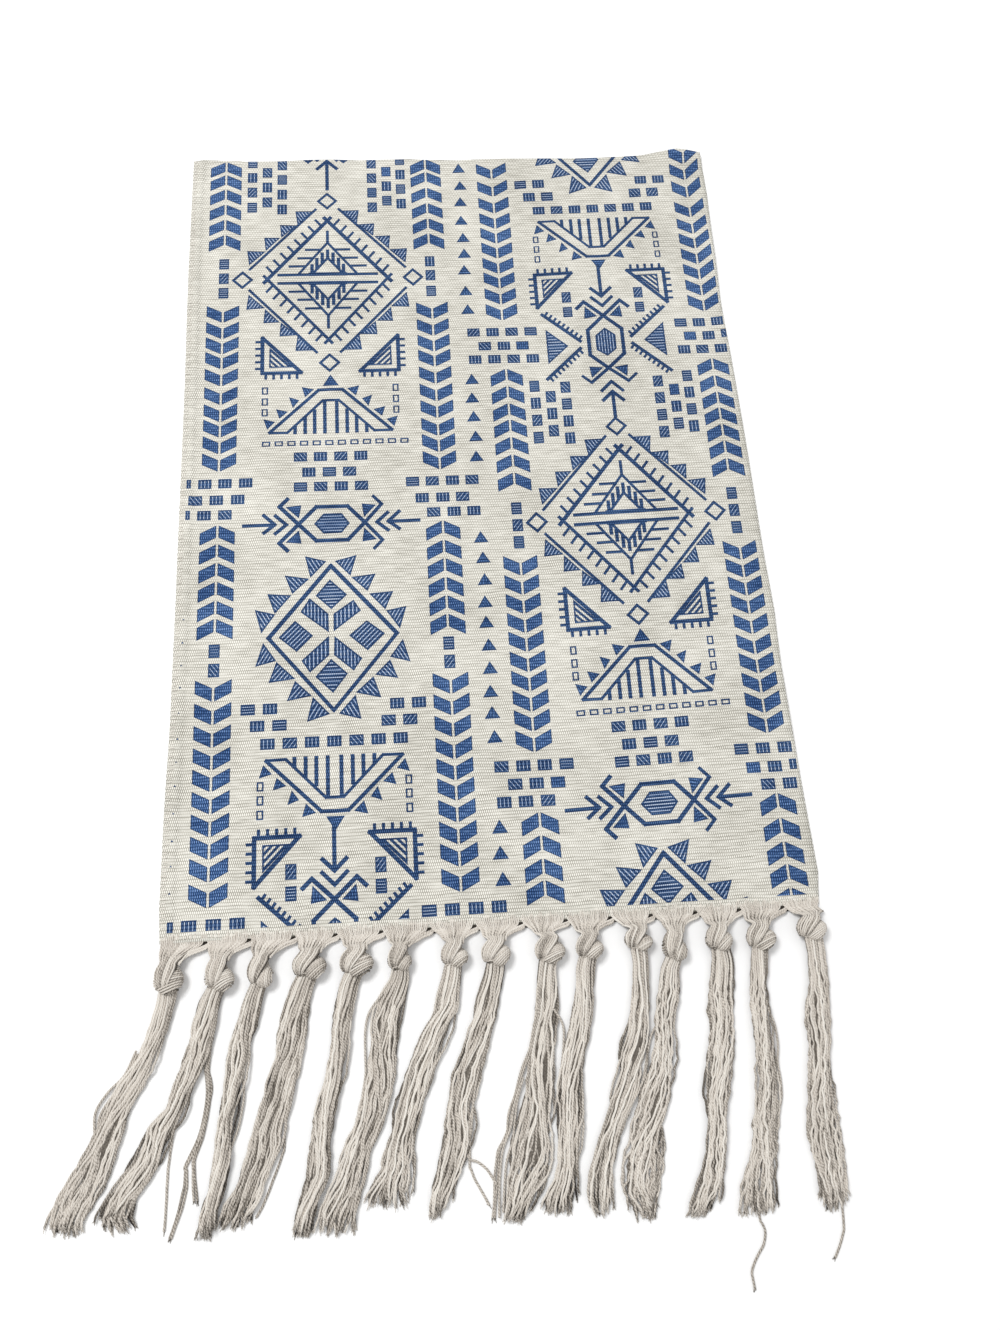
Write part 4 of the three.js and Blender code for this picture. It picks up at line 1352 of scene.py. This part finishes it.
def tail_core(yarns, section, first, last):
    """A body inside the tail, so that the surface isn't seen through it, dark as painted shade between the
    yarns.
    """
    size = 0.62
    rings = []
    for y in np.linspace(first, last, 24):
        l, r, high, low = section(y)
        half_high = max(0.4, (high - low) / 2 * size)
        rings.append([
            (
                (l + r) / 2 - (r - l) / 2 * size * math.cos(a),
                y,
                max(0.3, (high + low) / 2 - 0.4 + half_high * math.sin(a)),
            )
            for a in ring_angles(10)
        ])
    yarns.solid(rings, 0.1)


def stray_yarns(yarns, number):
    """Those of STRAY_YARNS that belong to one tassel."""
    for tassel, line in STRAY_YARNS:
        if tassel == number:
            last = len(line) - 1
            heights = np.interp(np.arange(len(line)), [0, 1, last - 1, last], [4.2, 2.4, 1.6, 2.6])
            path = [(x, y, z) for (x, y), z in zip(line, heights)]
            yarns.add(smoothed(np.array([path]), 6), YARN_RADIUS, STRAY_TONE)


def make_tassels(material):
    """Each tassel's gathered warp ends, knot, tail and stray yarns, as one piece."""
    for number in range(1, TASSEL_COUNT + 1):
        node = f"tassel_{number:02d}"
        style = KNOTS[number - 1]
        borders = TASSEL_BORDERS[number - 1:number + 1]
        envelope = Envelope(node)
        yarns = Yarns()
        middle, half = knot(yarns, envelope, style)
        fan(yarns, envelope, borders, middle, half, style[-1])
        if number < TASSEL_COUNT:
            crossing_yarns(yarns, envelope, borders[1], middle, half)
        tail(yarns, envelope, middle, half, CRINKLED if number > CRINKLED_AFTER else SMOOTH)
        stray_yarns(yarns, number)
        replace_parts(yarns.make(node + "_yarns", material), node)


# ---------------------------------------------------------------- loose yarns and stitches
# Where each loose yarn comes from: left or right side or end of its tassel, or along another one.
LOOSE_ROOTS = {
    "loose_yarns_02a": ("tassel_02", "right"), "loose_yarns_02b": ("loose_yarns_02a", "along"),
    "loose_yarns_02c": ("tassel_02", "right"), "loose_yarns_04": ("tassel_04", "right"),
    "loose_yarns_08": ("tassel_08", "right"), "loose_yarns_09": ("tassel_09", "left"),
    "loose_yarns_14": ("tassel_14", "end"), "loose_yarns_15": ("tassel_15", "end"),
}
# That stretch's points: how far above the solid's start, how far inside the tassel, and height.
ROOT_COURSE = ((64, 4.5, 3.6), (46, 3.0, 3.8), (30, 1.4, 3.4), (15, 0.4, 2.2))
PAIR_WIDTH = 3.2             # solids at least this wide hold two yarns
PAIR_OFFSETS = (-0.8, 0.8)
LOOSE_Z = 0.95
STITCH_PITCH = 3.4
STITCH_FOOT = 716.0
# A stitch's points: how far along it, and height above the cloth.
STITCH_COURSE = ((0.0, -0.5), (0.15, 0.22), (0.5, 0.34), (0.85, 0.22), (1.0, -0.5))


def root_of(name, start_x, start_y):
    """The stretch of a loose yarn that still lies against its tassel, from the top down."""
    tassel, side = LOOSE_ROOTS[name]
    envelope = Envelope(tassel)
    places = []
    for above, inside_by, z in ROOT_COURSE:
        y = start_y - above
        left, right = envelope.at(y, envelope.left), envelope.at(y, envelope.right)
        if side == "along":
            places.append(((left + right) / 2 - 1.2, y, 1.0))
            continue
        if side == "end":
            x = start_x + (left + right - 2 * start_x) * 0.5 * min(1, above / 60)
        elif side == "right":
            x = right - inside_by
        else:
            x = left + inside_by
        share = min(1.0, above / 26)
        places.append((x * share + start_x * (1 - share), y, z))
    return places


def make_loose_yarns(material):
    """The yarns that lie apart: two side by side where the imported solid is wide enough."""
    for name in LOOSE_ROOTS:
        line = Envelope(name)
        centre = (line.left + line.right) / 2
        offsets = PAIR_OFFSETS if float(np.median(line.right - line.left)) >= PAIR_WIDTH else (0.0,)
        root = root_of(name, centre[0], line.ys[0])
        paths = []
        for i, offset in enumerate(offsets):
            path = [(x + offset, y, z + 0.4 * i) for x, y, z in root]
            for y in np.linspace(line.ys[0] + 1, line.ys[-1], 14):
                sway = 0.35 * math.sin(y / 6.0 + 2.2 * i)
                x = float(np.interp(y, line.ys, centre)) + offset + sway
                path.append((x, y, LOOSE_Z + 0.12 * math.sin(y / 5 + i)))
            paths.append(path)
        paths = smoothed(np.array(paths), 4)
        tones = 0.4 + random.uniform(-0.06, 0.06, len(offsets))
        yarns = Yarns()
        yarns.add(paths, YARN_RADIUS, tones)
        frayed_tips(yarns, paths, tones - 0.1)
        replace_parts(yarns.make(name + "_strands", material), name)


def make_hem_stitches(material):
    """Short overcast stitches down the left edge."""
    paths = []
    for y in np.arange(5.0, STITCH_FOOT, STITCH_PITCH):
        x = left_edge(y) + random.uniform(0.2, 0.7)
        reach = random.uniform(3.6, 4.8)
        slant = random.uniform(-0.5, 0.3)
        path = []
        for s, rise in STITCH_COURSE:
            px, py = x + reach * s, y + slant * s
            path.append((px, py, front_of_cloth(px, py) + rise))
        paths.append(path)
    yarns = Yarns()
    yarns.add(paths, 0.42, 0.86 + random.uniform(-0.08, 0.08, len(paths)), sides=5)
    return yarns.make("hem_stitches", material)


# ---------------------------------------------------------------- making the pieces
cloth = make_cloth(CLOTH_MATERIALS)
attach(cloth, "root")
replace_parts(cloth, "panel")
yarn_look = yarn_material()
make_tassels(yarn_look)
make_loose_yarns(yarn_look)
hem_stitches = make_hem_stitches(yarn_look)

# ---------------------------------------------------------------- floor, camera and light
FLOOR_REACH = 6.0
CAMERA_PLACE = Vector(to_world(207.65, 772.45, 779.54))
CAMERA_LENS = 27.07          # mm, for a sensor this wide
CAMERA_SENSOR = 36.0
VIEW_WAY = Vector((0.0663, 0.3052, -0.9500)).normalized()
VIEW_UP = Vector((0.0446, 0.9502, 0.3084))
KEY_PLACE = Vector((-1.0, 0.7, 2.3))
KEY_TARGET = Vector((0, -0.1, 0))
KEY_SIZE = 0.9
KEY_POWER = 40
SKY_STRENGTH = 0.72


def linked(name, data):
    """A new object of the scene."""
    made = bpy.data.objects.new(name, data)
    bpy.context.scene.collection.objects.link(made)
    return made


floor_mesh = bpy.data.meshes.new("floor")
corners = [(-1, -1), (1, -1), (1, 1), (-1, 1)]
floor_mesh.from_pydata([(x * FLOOR_REACH, y * FLOOR_REACH, 0) for x, y in corners], [], [(0, 1, 2, 3)])
floor = linked("floor", floor_mesh)
floor_nodes = Nodes("floor_white")
floor_nodes.shader.inputs["Base Color"].default_value = srgb(250, 250, 250)
floor_nodes.shader.inputs["Roughness"].default_value = 0.9
floor_nodes.shader.inputs["Specular IOR Level"].default_value = 0.0
floor_mesh.materials.append(floor_nodes.material)

camera_data = bpy.data.cameras.new("camera")
camera_data.sensor_width = CAMERA_SENSOR
camera_data.lens = CAMERA_LENS
camera = linked("camera", camera_data)
right_way = VIEW_WAY.cross(VIEW_UP).normalized()
up_way = right_way.cross(VIEW_WAY)
camera_turn = Matrix((right_way, up_way, -VIEW_WAY)).transposed().to_4x4()
camera.matrix_world = Matrix.Translation(CAMERA_PLACE) @ camera_turn
bpy.context.scene.camera = camera

world = bpy.data.worlds.new("studio")
world.use_nodes = True
world.node_tree.nodes["Background"].inputs["Color"].default_value = (1.0, 1.0, 1.0, 1.0)
world.node_tree.nodes["Background"].inputs["Strength"].default_value = SKY_STRENGTH
bpy.context.scene.world = world
bpy.context.scene.view_settings.view_transform = "Standard"

key_data = bpy.data.lights.new("key", "AREA")
key_data.shape = "DISK"
key_data.size = KEY_SIZE
key_data.energy = KEY_POWER
key = linked("key", key_data)
key.location = KEY_PLACE
key.rotation_euler = (KEY_TARGET - KEY_PLACE).to_track_quat("-Z", "Y").to_euler()
